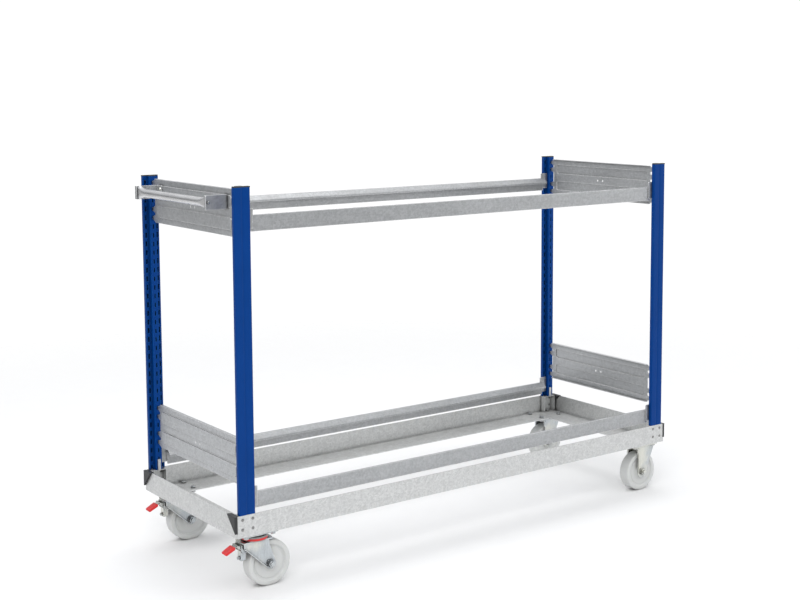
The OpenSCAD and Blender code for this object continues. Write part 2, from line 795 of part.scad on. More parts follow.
// the lever, with the brake block and its adjusting screw hanging below the pin
module brake_pedal(end) steel() at_caster(LEFT, end) difference() {
    block = [14, 28];
    union() {
        pedal_arm();
        across(cheek_gap - 12)
            translate([pedal_x - block[0] / 2, pedal_z - 6 - block[1]]) square(block);
        pedal_core();
        translate([pedal_x - block[0] / 2 - 7, 0, pedal_z - 26]) rotate([0, 90, 0]) {
            cylinder(d = 5, h = 8);
            translate([0, 0, 2]) hexagon(9, 4);
        }
    }
    pedal_hole(pedal_pin_diameter / 2 + running_clearance);
}

module pedal_tip(end) red() at_caster(LEFT, end) difference() {
    across(tip_width) tapered(tip_root, 4.8, tip_end, 4);
    pedal_arm();
    pedal_core();
}

// ------------------------------------------------------------ drawing nodes

upright(LEFT, FRONT);  // upright_front_left
upright(RIGHT, FRONT);  // upright_front_right
upright(LEFT, REAR);  // upright_rear_left
upright(RIGHT, REAR);  // upright_rear_right
post_caps();
post_foot(LEFT, FRONT);  // post_foot_front_left
post_foot(RIGHT, FRONT);  // post_foot_front_right
post_foot(LEFT, REAR);  // post_foot_rear_left
post_foot(RIGHT, REAR);  // post_foot_rear_right
rail(0, FRONT);  // rail_lower_front
rail(0, REAR);  // rail_lower_rear
rail(1, FRONT);  // rail_upper_front
rail(1, REAR);  // rail_upper_rear
rail_hooks(0);  // rail_hooks_lower
rail_hooks(1);  // rail_hooks_upper
end_panel(LEFT, 0);  // panel_lower_left
end_panel(RIGHT, 0);  // panel_lower_right
end_panel(LEFT, 1);  // panel_upper_left
end_panel(RIGHT, 1);  // panel_upper_right
handle_arm(FRONT);  // handle_arm_front
handle_arm(REAR);  // handle_arm_rear
handle_grip();
handle_screws();
long_channel(FRONT);  // channel_front
long_channel(REAR);  // channel_rear
end_channel(LEFT);  // channel_left
end_channel(RIGHT);  // channel_right
corner_bumpers();
foot_rivets();
caster_bolts();
caster_nuts();
swivel_plate(FRONT);  // swivel_plate_front
swivel_plate(REAR);  // swivel_plate_rear
swivel_race(FRONT);  // swivel_race_front
swivel_race(REAR);  // swivel_race_rear
kingpin(FRONT);  // kingpin_front
kingpin(REAR);  // kingpin_rear
swivel_fork(FRONT);  // swivel_fork_front
swivel_fork(REAR);  // swivel_fork_rear
swivel_axle(FRONT);  // swivel_axle_front
swivel_axle(REAR);  // swivel_axle_rear
brake_bracket(FRONT);  // brake_bracket_front
brake_bracket(REAR);  // brake_bracket_rear
brake_pedal(FRONT);  // brake_pedal_front
brake_pedal(REAR);  // brake_pedal_rear
pedal_tip(FRONT);  // pedal_tip_front
pedal_tip(REAR);  // pedal_tip_rear
swivel_wheel(FRONT);  // swivel_wheel_front
swivel_wheel(REAR);  // swivel_wheel_rear
swivel_bush(FRONT);  // swivel_bush_front
swivel_bush(REAR);  // swivel_bush_rear
rigid_fork(FRONT);  // rigid_fork_front
rigid_fork(REAR);  // rigid_fork_rear
rigid_axle(FRONT);  // rigid_axle_front
rigid_axle(REAR);  // rigid_axle_rear
rigid_wheel(FRONT);  // rigid_wheel_front
rigid_wheel(REAR);  // rigid_wheel_rear
rigid_bush(FRONT);  // rigid_bush_front
rigid_bush(REAR);  // rigid_bush_rear
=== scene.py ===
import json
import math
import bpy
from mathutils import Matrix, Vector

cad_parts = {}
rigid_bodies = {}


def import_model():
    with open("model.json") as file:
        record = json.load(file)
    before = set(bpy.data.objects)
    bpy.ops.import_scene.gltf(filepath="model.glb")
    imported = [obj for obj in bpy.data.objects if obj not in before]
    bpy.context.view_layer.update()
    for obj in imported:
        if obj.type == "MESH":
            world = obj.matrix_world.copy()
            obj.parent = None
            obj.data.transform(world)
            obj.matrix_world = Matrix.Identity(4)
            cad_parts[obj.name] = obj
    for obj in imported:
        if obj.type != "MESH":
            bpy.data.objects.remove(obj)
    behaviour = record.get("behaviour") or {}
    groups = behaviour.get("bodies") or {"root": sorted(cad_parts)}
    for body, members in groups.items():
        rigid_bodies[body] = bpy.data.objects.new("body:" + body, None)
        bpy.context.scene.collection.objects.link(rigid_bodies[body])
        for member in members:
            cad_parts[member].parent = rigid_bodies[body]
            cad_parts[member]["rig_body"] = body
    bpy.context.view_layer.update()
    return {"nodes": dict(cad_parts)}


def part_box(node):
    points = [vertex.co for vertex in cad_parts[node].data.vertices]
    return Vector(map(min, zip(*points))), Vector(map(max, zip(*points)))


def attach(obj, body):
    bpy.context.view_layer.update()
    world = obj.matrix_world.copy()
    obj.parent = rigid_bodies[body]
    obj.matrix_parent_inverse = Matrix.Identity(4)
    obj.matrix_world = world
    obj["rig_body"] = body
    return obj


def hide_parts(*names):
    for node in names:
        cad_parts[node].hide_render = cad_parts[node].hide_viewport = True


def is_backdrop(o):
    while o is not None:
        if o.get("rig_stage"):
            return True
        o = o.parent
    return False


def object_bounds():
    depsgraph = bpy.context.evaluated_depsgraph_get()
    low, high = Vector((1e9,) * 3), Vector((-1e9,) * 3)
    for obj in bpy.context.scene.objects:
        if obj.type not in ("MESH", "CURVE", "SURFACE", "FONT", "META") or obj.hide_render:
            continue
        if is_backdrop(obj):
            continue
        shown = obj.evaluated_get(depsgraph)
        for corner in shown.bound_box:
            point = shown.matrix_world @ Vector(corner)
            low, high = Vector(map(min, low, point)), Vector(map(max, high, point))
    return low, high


bl_info = {
    "name": "Mobile Tyre Storage Rack",
    "version": (1, 0, 0),
    "blender": (4, 5, 0),
    "location": "View3D > Sidebar > Tyre Rack",
    "description": "Builds a rolling two-tier tyre rack on its CAD frame",
    "category": "Object",
}

import bmesh
import bpy
from bpy.props import FloatProperty, FloatVectorProperty, IntProperty, PointerProperty
from mathutils import Vector

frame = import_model()

ENDS = ("front", "rear")
SIDES = ("left", "right")
LEVELS = ("lower", "upper")
CORNERS = tuple(f"{end}_{side}" for end in ENDS for side in SIDES)

# a material and the CAD slot that it stands for
POWDER_COAT = ("powder_coat_finish", "blue_powder_coat")
BLACK = ("black_moulded_finish", "black_plastic")
RED = ("red_moulded_finish", "red_plastic")
GALVANISED = ("galvanised_finish", "galvanised_steel")
SHEET_ALONG = ("zinc_sheet_along", "zinc_coated_sheet")
SHEET_ACROSS = ("zinc_sheet_across", "zinc_coated_sheet")
GRIP = ("grip_finish", "grip_metal")
PLATED = ("plated_zinc_finish", "bright_zinc")
STEEL = ("bare_steel_finish", "plain_steel")
POLYAMIDE = ("polyamide_finish", "white_polyamide")

# thicknesses of the sheet parts
UPRIGHT_WALL = 0.002
CHASSIS_WALL = 0.0025
RAIL_WALL = 0.002
HOOK_PLATE = 0.0025
PANEL_WALL = 0.0015
ARM_WALL = 0.0025
FORK_WALL = 0.0025
BRAKE_WALL = 0.003

# inner fold radii of the parts that are folded tighter than the rest
PLATE_FOLD = 0.0004
PRESSED_FOLD = 0.0006

# rounding along the edges of the solid metal parts
FINE_EDGE = 0.0003
FASTENER_EDGE = 0.0004
PLATE_EDGE = 0.0005
RACE_EDGE = 0.0008


# ------------------------------------------------------------------ settings


class RackSizes(bpy.types.PropertyGroup):
    """Small sizes that the CAD frame leaves out."""

    fold_radius: FloatProperty(
        name="Inner fold radius",
        description="Inside radius of a fold in the sheet parts",
        default=0.0012, min=0.0002, max=0.004, unit="LENGTH",
    )
    cut_edge: FloatProperty(
        name="Cut edge",
        description="Width of the broken edge along cut sheet",
        default=0.0003, min=0.00005, max=0.001, unit="LENGTH",
    )
    moulded_edge: FloatProperty(
        name="Moulded edge",
        description="Radius along the edges of the moulded plastic parts",
        default=0.0012, min=0.0002, max=0.004, unit="LENGTH",
    )
    rivet_dome: FloatProperty(
        name="Rivet dome",
        description="Share of a rivet head's height that is domed",
        default=0.8, min=0.2, max=1.0, subtype="FACTOR",
    )
    tread_crown: FloatProperty(
        name="Tread crown",
        description="How much a wheel's tread falls away towards its shoulders",
        default=0.0008, min=0.0, max=0.003, unit="LENGTH",
    )
    shoulder_radius: FloatProperty(
        name="Shoulder radius",
        description="Radius between a wheel's tread and its side",
        default=0.007, min=0.001, max=0.01, unit="LENGTH",
    )
    web_recess: FloatProperty(
        name="Web recess",
        description="How far a wheel's side lies behind its rim",
        default=0.0035, min=0.0, max=0.01, unit="LENGTH",
    )
    side_ring_depth: FloatProperty(
        name="Side ring depth",
        description="Depth of the ring turned into a wheel's side",
        default=0.0010, min=0.0002, max=0.004, unit="LENGTH",
    )
    grip_flare: FloatProperty(
        name="Grip flare",
        description="Length of each flared end of the grip",
        default=0.046, min=0.02, max=0.08, unit="LENGTH",
    )
    grip_end_thickness: FloatProperty(
        name="Grip end thickness",
        description="Thickness of the tall flared ends of the grip",
        default=0.016, min=0.008, max=0.022, unit="LENGTH",
    )
    seal_band: FloatVectorProperty(
        name="Seal band", description="Bottom and top of the red seal, as shares of the race's height",
        default=(0.18, 0.62), size=2, min=0.0, max=1.0,
    )
    pedal_ribs: IntProperty(
        name="Pedal ribs",
        description="Raised ribs across the tip of a brake pedal",
        default=5, min=2, max=9,
    )


class RackColours(bpy.types.PropertyGroup):
    """Base colours of the finishes."""

    powder_coat: FloatVectorProperty(
        name="Powder coat", description="Colour of the uprights",
        default=(0.0002, 0.043, 0.225), size=3, min=0.0, max=1.0, subtype="COLOR",
    )
    cap_plastic: FloatVectorProperty(
        name="Black plastic", description="Colour of the caps and the corner bumpers",
        default=(0.022, 0.023, 0.025), size=3, min=0.0, max=1.0, subtype="COLOR",
    )
    galvanised: FloatVectorProperty(
        name="Galvanised steel", description="Mean colour of the chassis",
        default=(0.64, 0.645, 0.64), size=3, min=0.0, max=1.0, subtype="COLOR",
    )
    zinc_sheet: FloatVectorProperty(
        name="Zinc coated sheet", description="Colour of the rails, panels and hook plates",
        default=(0.50, 0.51, 0.52), size=3, min=0.0, max=1.0, subtype="COLOR",
    )
    grip: FloatVectorProperty(
        name="Grip metal", description="Colour of the push handle's grip",
        default=(0.72, 0.72, 0.73), size=3, min=0.0, max=1.0, subtype="COLOR",
    )
    bright_zinc: FloatVectorProperty(
        name="Bright zinc", description="Colour of the caster forks and fasteners",
        default=(0.47, 0.50, 0.52), size=3, min=0.0, max=1.0, subtype="COLOR",
    )
    steel: FloatVectorProperty(
        name="Plain steel", description="Colour of axles, bushes and kingpins",
        default=(0.26, 0.26, 0.255), size=3, min=0.0, max=1.0, subtype="COLOR",
    )
    red_plastic: FloatVectorProperty(
        name="Red plastic", description="Colour of the pedal tips and seal rings",
        default=(0.70, 0.020, 0.022), size=3, min=0.0, max=1.0, subtype="COLOR",
    )
    polyamide: FloatVectorProperty(
        name="White polyamide", description="Colour of the wheels",
        default=(0.62, 0.63, 0.62), size=3, min=0.0, max=1.0, subtype="COLOR",
    )
    floor: FloatVectorProperty(
        name="Floor", description="Colour of the studio floor",
        default=(0.87, 0.87, 0.87), size=3, min=0.0, max=1.0, subtype="COLOR",
    )


class StageSettings(bpy.types.PropertyGroup):
    """Camera and lights."""

    camera_azimuth: FloatProperty(
        name="Camera azimuth", description="Angle of the view round the rack from its front, to the left",
        default=math.radians(37.413), subtype="ANGLE",
    )
    camera_elevation: FloatProperty(
        name="Camera elevation", description="Downward tilt of the view",
        default=math.radians(5.877), subtype="ANGLE",
    )
    camera_roll: FloatProperty(
        name="Camera roll", description="Roll of the camera about its own axis",
        default=math.radians(0.109), subtype="ANGLE",
    )
    camera_place: FloatVectorProperty(
        name="Camera place", description="Where the camera stands",
        default=(-2.4026, -3.3150, 1.3340), size=3, subtype="XYZ", unit="LENGTH",
    )
    camera_lens: FloatProperty(
        name="Lens", description="Focal length in millimetres on a 36 mm sensor",
        default=61.26, min=20.0, max=200.0,
    )
    camera_shift: FloatVectorProperty(
        name="Shift", description="Sideways and vertical shift of the lens",
        default=(-0.062, -0.100), size=2,
    )
    key_power: FloatProperty(
        name="Key light", description="Power of the large soft light at the front left",
        default=72.0, min=0.0, subtype="POWER", unit="POWER",
    )
    fill_power: FloatProperty(
        name="Fill light", description="Power of the soft light at the right",
        default=27.0, min=0.0, subtype="POWER", unit="POWER",
    )
    top_power: FloatProperty(
        name="Top light", description="Power of the soft light overhead",
        default=36.0, min=0.0, subtype="POWER", unit="POWER",
    )
    sky_strength: FloatProperty(
        name="Room light", description="Strength of the even light of the room",
        default=0.85, min=0.0, max=5.0,
    )


# ------------------------------------------------------------- shader helpers


def place_node(tree, kind, settings=None, **inputs):
    """Adds a shader node, sets its inputs by name, and links those given as sockets."""
    node = tree.nodes.new(kind)
    for key, value in (settings or {}).items():
        setattr(node, key, value)
    for key, value in inputs.items():
        socket = node.inputs[int(key[1:])] if key[0] == "_" else node.inputs[key.replace("_", " ")]
        if isinstance(value, bpy.types.NodeSocket):
            tree.links.new(value, socket)
        else:
            socket.default_value = value
    return node


def arithmetic(tree, operation, first, second, clamp=False):
    settings = {"operation": operation, "use_clamp": clamp}
    return place_node(tree, "ShaderNodeMath", settings, _0=first, _1=second).outputs[0]


def scaled(tree, value, gain, offset):
    """The value times a gain, plus an offset."""
    return arithmetic(tree, "ADD", arithmetic(tree, "MULTIPLY", value, gain), offset)


def product(tree, first, second, third, clamp=False):
    return arithmetic(tree, "MULTIPLY", arithmetic(tree, "MULTIPLY", first, second), third, clamp=clamp)


def remap(tree, value, low, high, new_low=0.0, new_high=1.0):
    node = place_node(
        tree, "ShaderNodeMapRange", {"interpolation_type": "SMOOTHSTEP"},
        Value=value, From_Min=low, From_Max=high, To_Min=new_low, To_Max=new_high,
    )
    return node.outputs["Result"]


def mixed(tree, factor, first, second):
    """The first colour, with the second over it by the factor."""
    node = place_node(tree, "ShaderNodeMix", {"data_type": "RGBA"}, _0=factor, _6=first, _7=second)
    return node.outputs[2]


def stretched(tree, scale):
    """Object coordinates multiplied by a vector."""
    place = place_node(tree, "ShaderNodeTexCoord").outputs["Object"]
    return place_node(tree, "ShaderNodeVectorMath", {"operation": "MULTIPLY"}, _0=place, _1=scale).outputs[0]


def unscaled(tree):
    """Object coordinates in metres."""
    return stretched(tree, (1, 1, 1))


def noise(tree, vector, scale, detail=3.0, roughness=0.55):
    node = place_node(
        tree, "ShaderNodeTexNoise", {"noise_dimensions": "3D"},
        Vector=vector, Scale=scale, Detail=detail, Roughness=roughness,
    )
    return node.outputs["Fac"]


def new_group(name, inputs, outputs):
    """An empty shader group with named inputs and outputs."""
    tree = bpy.data.node_groups.new(name, "ShaderNodeTree")
    for label, kind, default in inputs:
        socket = tree.interface.new_socket(name=label, in_out="INPUT", socket_type=kind)
        socket.default_value = default
    for label, kind in outputs:
        tree.interface.new_socket(name=label, in_out="OUTPUT", socket_type=kind)
    return tree, tree.nodes.new("NodeGroupInput").outputs, tree.nodes.new("NodeGroupOutput").inputs


def use_group(tree, name, **inputs):
    node = tree.nodes.new("ShaderNodeGroup")
    node.node_tree = bpy.data.node_groups[name]
    for key, value in inputs.items():
        node.inputs[key.replace("_", " ")].default_value = value
    return node.outputs


FLOAT, VECTOR = "NodeSocketFloat", "NodeSocketVector"


def group_edge_wear_and_highlight():
    """A mask along the edges, in patches: 1 on an edge. It marks rubbed wear on some finishes and carries
    painted highlights on others.
    """
    tree, given, out = new_group(
        "Edge Wear And Highlight",
        [
            ("Radius", FLOAT, 0.0015), ("Amount", FLOAT, 0.5),
            ("Patch Scale", FLOAT, 40.0), ("Coverage", FLOAT, 0.5),
        ],
        [("Mask", FLOAT)],
    )
    rounded = place_node(tree, "ShaderNodeBevel", {"samples": 4}, Radius=given["Radius"])
    surface = place_node(tree, "ShaderNodeNewGeometry")
    likeness = place_node(
        tree, "ShaderNodeVectorMath", {"operation": "DOT_PRODUCT"},
        _0=rounded.outputs["Normal"], _1=surface.outputs["Normal"],
    )
    edge = remap(tree, arithmetic(tree, "SUBTRACT", 1.0, likeness.outputs["Value"]), 0.01, 0.12)
    clouds = noise(tree, unscaled(tree), given["Patch Scale"], 5.0, 0.65)
    patches = remap(tree, arithmetic(tree, "ADD", clouds, given["Coverage"]), 0.92, 1.12)
    tree.links.new(product(tree, edge, patches, given["Amount"], clamp=True), out["Mask"])


def group_spangle():
    """Zinc crystals: a shade for each, and a fine height."""
    tree, given, out = new_group(
        "Zinc Spangle",
        [("Scale", FLOAT, 110.0), ("Contrast", FLOAT, 0.3)],
        [("Shade", FLOAT), ("Height", FLOAT)],
    )
    place = unscaled(tree)
    bend = noise(tree, place, 90.0, 2.0)
    spread = place_node(
        tree, "ShaderNodeVectorMath", {"operation": "MULTIPLY_ADD"},
        _0=bend, _1=(0.010, 0.010, 0.010), _2=place,
    )
    shades = []
    for factor in (1.0, 2.7):
        size = arithmetic(tree, "MULTIPLY", given["Scale"], factor)
        cells = place_node(
            tree, "ShaderNodeTexVoronoi", {"feature": "F1", "distance": "MINKOWSKI"},
            Vector=spread.outputs[0], Scale=size, Exponent=1.4,
        )
        parts = place_node(tree, "ShaderNodeSeparateColor", Color=cells.outputs["Color"])
        shades.append(parts.outputs["Red"])
    both = scaled(tree, shades[0], 0.6, arithmetic(tree, "MULTIPLY", shades[1], 0.4))
    feather = noise(tree, spread.outputs[0], 900.0, 3.0, 0.7)
    middle = arithmetic(tree, "SUBTRACT", scaled(tree, feather, 0.35, both), 0.675)
    tree.links.new(scaled(tree, middle, given["Contrast"], 0.5), out["Shade"])
    tree.links.new(both, out["Height"])


def group_rolling():
    """Faint lines left by the rolling mill, along one direction."""
    tree, given, out = new_group(
        "Rolling Lines",
        [("Stretch", VECTOR, (3.0, 90.0, 90.0)), ("Strength", FLOAT, 0.5)],
        [("Shade", FLOAT), ("Height", FLOAT)],
    )
    place = stretched(tree, given["Stretch"])
    lines = noise(tree, place, 3.0, 4.0, 0.6)
    clouds = noise(tree, unscaled(tree), 7.0, 3.0)
    both = arithmetic(tree, "SUBTRACT", scaled(tree, clouds, 0.6, lines), 0.8)
    tree.links.new(scaled(tree, both, given["Strength"], 0.5), out["Shade"])
    tree.links.new(lines, out["Height"])


def group_scuffs():
    """Thin scratches and rubbed patches."""
    tree, given, out = new_group(
        "Scuffs",
        [("Density", FLOAT, 0.3), ("Scale", FLOAT, 6.0)],
        [("Mask", FLOAT)],
    )
    found = []
    for turn in ((1.0, 7.0, 30.0), (30.0, 5.0, 2.0)):
        vector = stretched(tree, turn)
        streaks = noise(tree, vector, given["Scale"], 6.0, 0.75)
        found.append(remap(tree, streaks, 0.62, 0.72))
    joined = arithmetic(tree, "MAXIMUM", found[0], found[1])
    patches = remap(tree, noise(tree, unscaled(tree), given["Scale"], 2.0), 0.40, 0.70)
    tree.links.new(product(tree, joined, patches, given["Density"]), out["Mask"])


def group_dust():
    """Dust that settles on faces turned up."""
    tree, given, out = new_group(
        "Settled Dust",
        [("Amount", FLOAT, 0.3), ("Scale", FLOAT, 25.0)],
        [("Mask", FLOAT)],
    )
    surface = place_node(tree, "ShaderNodeNewGeometry")
    axes = place_node(tree, "ShaderNodeSeparateXYZ", Vector=surface.outputs["Normal"])
    up = remap(tree, axes.outputs["Z"], 0.35, 1.0)
    clouds = remap(tree, noise(tree, unscaled(tree), given["Scale"], 5.0, 0.6), 0.30, 0.75)
    tree.links.new(product(tree, up, clouds, given["Amount"], clamp=True), out["Mask"])


def group_painted_crease_shade():
    """Painted shade in corners and folds, darkest where ambient occlusion is deepest: 1 deep in a corner."""
    tree, given, out = new_group(
        "Painted Crease Shade",
        [("Distance", FLOAT, 0.008), ("Amount", FLOAT, 0.5)],
        [("Mask", FLOAT)],
    )
    # ambient occlusion sets where the painted shade falls
    open_sky = place_node(tree, "ShaderNodeAmbientOcclusion", {"samples": 6}, Distance=given["Distance"])
    closed = remap(tree, open_sky.outputs["AO"], 0.35, 0.97, 1.0, 0.0)
    clouds = remap(tree, noise(tree, unscaled(tree), 60.0, 4.0), 0.2, 0.6, 0.6, 1.0)
    tree.links.new(product(tree, closed, clouds, given["Amount"]), out["Mask"])


def group_grain():
    """Fine grain or orange peel of a moulded or coated surface."""
    tree, given, out = new_group(
        "Surface Grain",
        [("Scale", FLOAT, 600.0), ("Softness", FLOAT, 2.0)],
        [("Height", FLOAT), ("Shade", FLOAT)],
    )
    place = unscaled(tree)
    fine = place_node(
        tree, "ShaderNodeTexNoise", {"noise_dimensions": "3D"},
        Vector=place, Scale=given["Scale"], Detail=given["Softness"],
    )
    tree.links.new(fine.outputs["Fac"], out["Height"])
    tree.links.new(noise(tree, place, 9.0, 4.0), out["Shade"])


def new_material(name):
    """A material with a Principled BSDF, ready for its finish."""
    material = bpy.data.materials.new(name)
    material.use_nodes = True
    tree = material.node_tree
    tree.nodes.clear()
    shader = tree.nodes.new("ShaderNodeBsdfPrincipled")
    output = tree.nodes.new("ShaderNodeOutputMaterial")
    tree.links.new(shader.outputs["BSDF"], output.inputs["Surface"])
    return tree, shader


def shaded(tree, colour, shade, depth):
    """The colour made lighter and darker by a shade that swings about a half."""
    dark = tuple(c * (1 - depth) for c in colour) + (1.0,)
    light = tuple(min(1.0, c * (1 + depth)) for c in colour) + (1.0,)
    return mixed(tree, shade, dark, light)


def with_edge_wear_and_highlight(tree, base, colour, radius, amount, patches, coverage=0.5):
    """The base with a colour along its edges, which stands for rubbed wear on some finishes and is a painted
    highlight on others.
    """
    edge_mask = use_group(tree, "Edge Wear And Highlight", Radius=radius, Amount=amount, Patch_Scale=patches, Coverage=coverage)
    return mixed(tree, edge_mask["Mask"], base, colour)


def with_painted_crease_shade(tree, base, colour, distance, amount):
    """The base with painted shade, a dark colour, in its corners."""
    crease_shade = use_group(tree, "Painted Crease Shade", Distance=distance, Amount=amount)
    return mixed(tree, crease_shade["Mask"], base, colour)


def bump(tree, shader, height, strength, distance):
    node = place_node(tree, "ShaderNodeBump", Height=height, Strength=strength, Distance=distance)
    tree.links.new(node.outputs["Normal"], shader.inputs["Normal"])


def finish_powder_coat(colours):
    """Blue powder coat: orange peel, scuffs, dust on top, painted highlights along the edges, painted shade
    in the corners.
    """
    tree, shader = new_material(POWDER_COAT[0])
    colour = tuple(colours.powder_coat)
    grain = use_group(tree, "Surface Grain", Scale=420.0, Softness=1.5)
    base = shaded(tree, colour, grain["Shade"], 0.12)
    # light blue along the edges, broken into patches: a painted highlight
    base = with_edge_wear_and_highlight(tree, base, (0.02, 0.15, 0.42, 1.0), 0.0018, 0.75, 25.0, 0.64)
    scuffs = use_group(tree, "Scuffs", Density=0.16, Scale=5.0)
    base = mixed(tree, scuffs["Mask"], base, (0.04, 0.12, 0.32, 1.0))
    dust = use_group(tree, "Settled Dust", Amount=0.25, Scale=30.0)
    base = mixed(tree, dust["Mask"], base, (0.30, 0.31, 0.32, 1.0))
    # dark blue in the corners and folds: painted shade
    base = with_painted_crease_shade(tree, base, (0.002, 0.010, 0.045, 1.0), 0.010, 0.9)
    tree.links.new(base, shader.inputs["Base Color"])
    rough = scaled(tree, grain["Shade"], 0.16, 0.34)
    tree.links.new(scaled(tree, scuffs["Mask"], 0.8, rough), shader.inputs["Roughness"])
    shader.inputs["Specular IOR Level"].default_value = 0.10
    bump(tree, shader, grain["Height"], 0.10, 0.0004)


def finish_plastic(name, colour, scale, roughness, depth, wear_colour, dust_amount):
    """Moulded plastic with a grained skin and paler rubbed edges."""
    tree, shader = new_material(name)
    grain = use_group(tree, "Surface Grain", Scale=scale, Softness=3.0)
    base = shaded(tree, colour, grain["Shade"], depth)
    base = with_edge_wear_and_highlight(tree, base, wear_colour, 0.0014, 0.5, 70.0)
    dust = use_group(tree, "Settled Dust", Amount=dust_amount, Scale=35.0)
    base = mixed(tree, dust["Mask"], base, (0.34, 0.34, 0.33, 1.0))
    tree.links.new(base, shader.inputs["Base Color"])
    rough = scaled(tree, grain["Shade"], 0.2, roughness)
    tree.links.new(rough, shader.inputs["Roughness"])
    bump(tree, shader, grain["Height"], 0.35, 0.0003)


def finish_galvanised(name, colour):
    """Hot-dipped zinc: fine crystals, dull clouds, painted shade in the corners, dust."""
    tree, shader = new_material(name)
    spangle = use_group(tree, "Zinc Spangle", Scale=230.0, Contrast=0.9)
    base = shaded(tree, colour, spangle["Shade"], 0.22)
    clouds = use_group(tree, "Surface Grain", Scale=55.0, Softness=4.0)
    base = mixed(tree, remap(tree, clouds["Height"], 0.40, 0.75, 0.0, 0.35), base, (0.50, 0.51, 0.51, 1.0))
    # dark grey in the corners and folds: painted shade
    base = with_painted_crease_shade(tree, base, (0.16, 0.16, 0.155, 1.0), 0.012, 0.75)
    dust = use_group(tree, "Settled Dust", Amount=0.4, Scale=18.0)
    base = mixed(tree, dust["Mask"], base, (0.33, 0.33, 0.31, 1.0))
    base = with_edge_wear_and_highlight(tree, base, (0.80, 0.81, 0.82, 1.0), 0.0012, 0.6, 45.0)
    tree.links.new(base, shader.inputs["Base Color"])
    rough = scaled(tree, spangle["Shade"], 0.20, 0.34)
    rough = scaled(tree, dust["Mask"], 0.5, rough)
    tree.links.new(rough, shader.inputs["Roughness"])
    tree.links.new(arithmetic(tree, "SUBTRACT", 0.85, dust["Mask"]), shader.inputs["Metallic"])
    bump(tree, shader, spangle["Height"], 0.12, 0.0004)


def finish_zinc_sheet(name, colour, stretch):
    """Zinc coated sheet: rolling lines along one direction, painted shade in the corners, lighter rubbed zinc
    with a painted highlight on the folds and steps, scratches.
    """
    tree, shader = new_material(name)
    rolling = use_group(tree, "Rolling Lines", Stretch=stretch, Strength=0.9)
    base = shaded(tree, colour, rolling["Shade"], 0.30)
    spangle = use_group(tree, "Zinc Spangle", Scale=200.0, Contrast=0.9)
    base = mixed(tree, 0.42, base, shaded(tree, colour, spangle["Shade"], 0.45))
    # dark grey in the corners and folds: painted shade
    base = with_painted_crease_shade(tree, base, (0.10, 0.10, 0.10, 1.0), 0.011, 0.95)
    # near white along the folds and steps: partly lighter rubbed zinc, partly a painted highlight
    base = with_edge_wear_and_highlight(tree, base, (0.93, 0.93, 0.93, 1.0), 0.0026, 1.0, 9.0, 0.66)
    scuffs = use_group(tree, "Scuffs", Density=0.35, Scale=4.0)
    base = mixed(tree, scuffs["Mask"], base, (0.62, 0.63, 0.64, 1.0))
    dust = use_group(tree, "Settled Dust", Amount=0.3, Scale=22.0)
    base = mixed(tree, dust["Mask"], base, (0.34, 0.33, 0.31, 1.0))
    tree.links.new(base, shader.inputs["Base Color"])
    rough = scaled(tree, rolling["Shade"], 0.22, 0.32)
    rough = scaled(tree, dust["Mask"], 0.4, rough)
    tree.links.new(rough, shader.inputs["Roughness"])
    tree.links.new(arithmetic(tree, "SUBTRACT", 0.82, dust["Mask"]), shader.inputs["Metallic"])
    bump(tree, shader, rolling["Height"], 0.10, 0.0002)


def finish_bright_metal(name, colour, roughness, stretch, tint=None):
    """Plated or drawn metal: fine lines, stains, painted shade in the corners, and rubbed edges lightened
    further by a painted highlight.
    """
    tree, shader = new_material(name)
    rolling = use_group(tree, "Rolling Lines", Stretch=stretch, Strength=1.2)
    base = shaded(tree, colour, rolling["Shade"], 0.28)
    if tint:
        grain = use_group(tree, "Surface Grain", Scale=30.0, Softness=3.0)
        base = mixed(tree, remap(tree, grain["Shade"], 0.45, 0.65), base, tint)
    # near black in the corners and folds: painted shade
    base = with_painted_crease_shade(tree, base, (0.07, 0.07, 0.07, 1.0), 0.014, 1.0)
    # near white along the edges: partly rubbed metal, partly a painted highlight
    base = with_edge_wear_and_highlight(tree, base, (0.90, 0.90, 0.90, 1.0), 0.0010, 0.9, 60.0, 0.6)
    dust = use_group(tree, "Settled Dust", Amount=0.2, Scale=40.0)
    base = mixed(tree, dust["Mask"], base, (0.33, 0.32, 0.30, 1.0))
    tree.links.new(base, shader.inputs["Base Color"])
    rough = scaled(tree, rolling["Shade"], 0.14, roughness)
    tree.links.new(rough, shader.inputs["Roughness"])
    tree.links.new(arithmetic(tree, "SUBTRACT", 0.97, dust["Mask"]), shader.inputs["Metallic"])
    bump(tree, shader, rolling["Height"], 0.08, 0.0002)


def finish_polyamide(colours):
    """Whitish polyamide: slightly clear, marked by the floor, with painted shade in its corners."""
    tree, shader = new_material(POLYAMIDE[0])
    colour = tuple(colours.polyamide)
    grain = use_group(tree, "Surface Grain", Scale=500.0, Softness=2.0)
    base = shaded(tree, colour, grain["Shade"], 0.07)
    scuffs = use_group(tree, "Scuffs", Density=0.5, Scale=14.0)
    base = mixed(tree, scuffs["Mask"], base, (0.42, 0.40, 0.37, 1.0))
    base = with_edge_wear_and_highlight(tree, base, (0.48, 0.46, 0.42, 1.0), 0.0030, 0.35, 50.0)
    # warm grey in the corners round the hub and side: painted shade
    base = with_painted_crease_shade(tree, base, (0.30, 0.29, 0.27, 1.0), 0.020, 0.55)
    tree.links.new(base, shader.inputs["Base Color"])
    rough = scaled(tree, grain["Shade"], 0.2, 0.32)
    tree.links.new(rough, shader.inputs["Roughness"])
    shader.inputs["Subsurface Weight"].default_value = 0.12
    shader.inputs["Subsurface Radius"].default_value = (0.004, 0.004, 0.003)
    shader.inputs["Subsurface Scale"].default_value = 1.0
    bump(tree, shader, grain["Height"], 0.15, 0.0003)


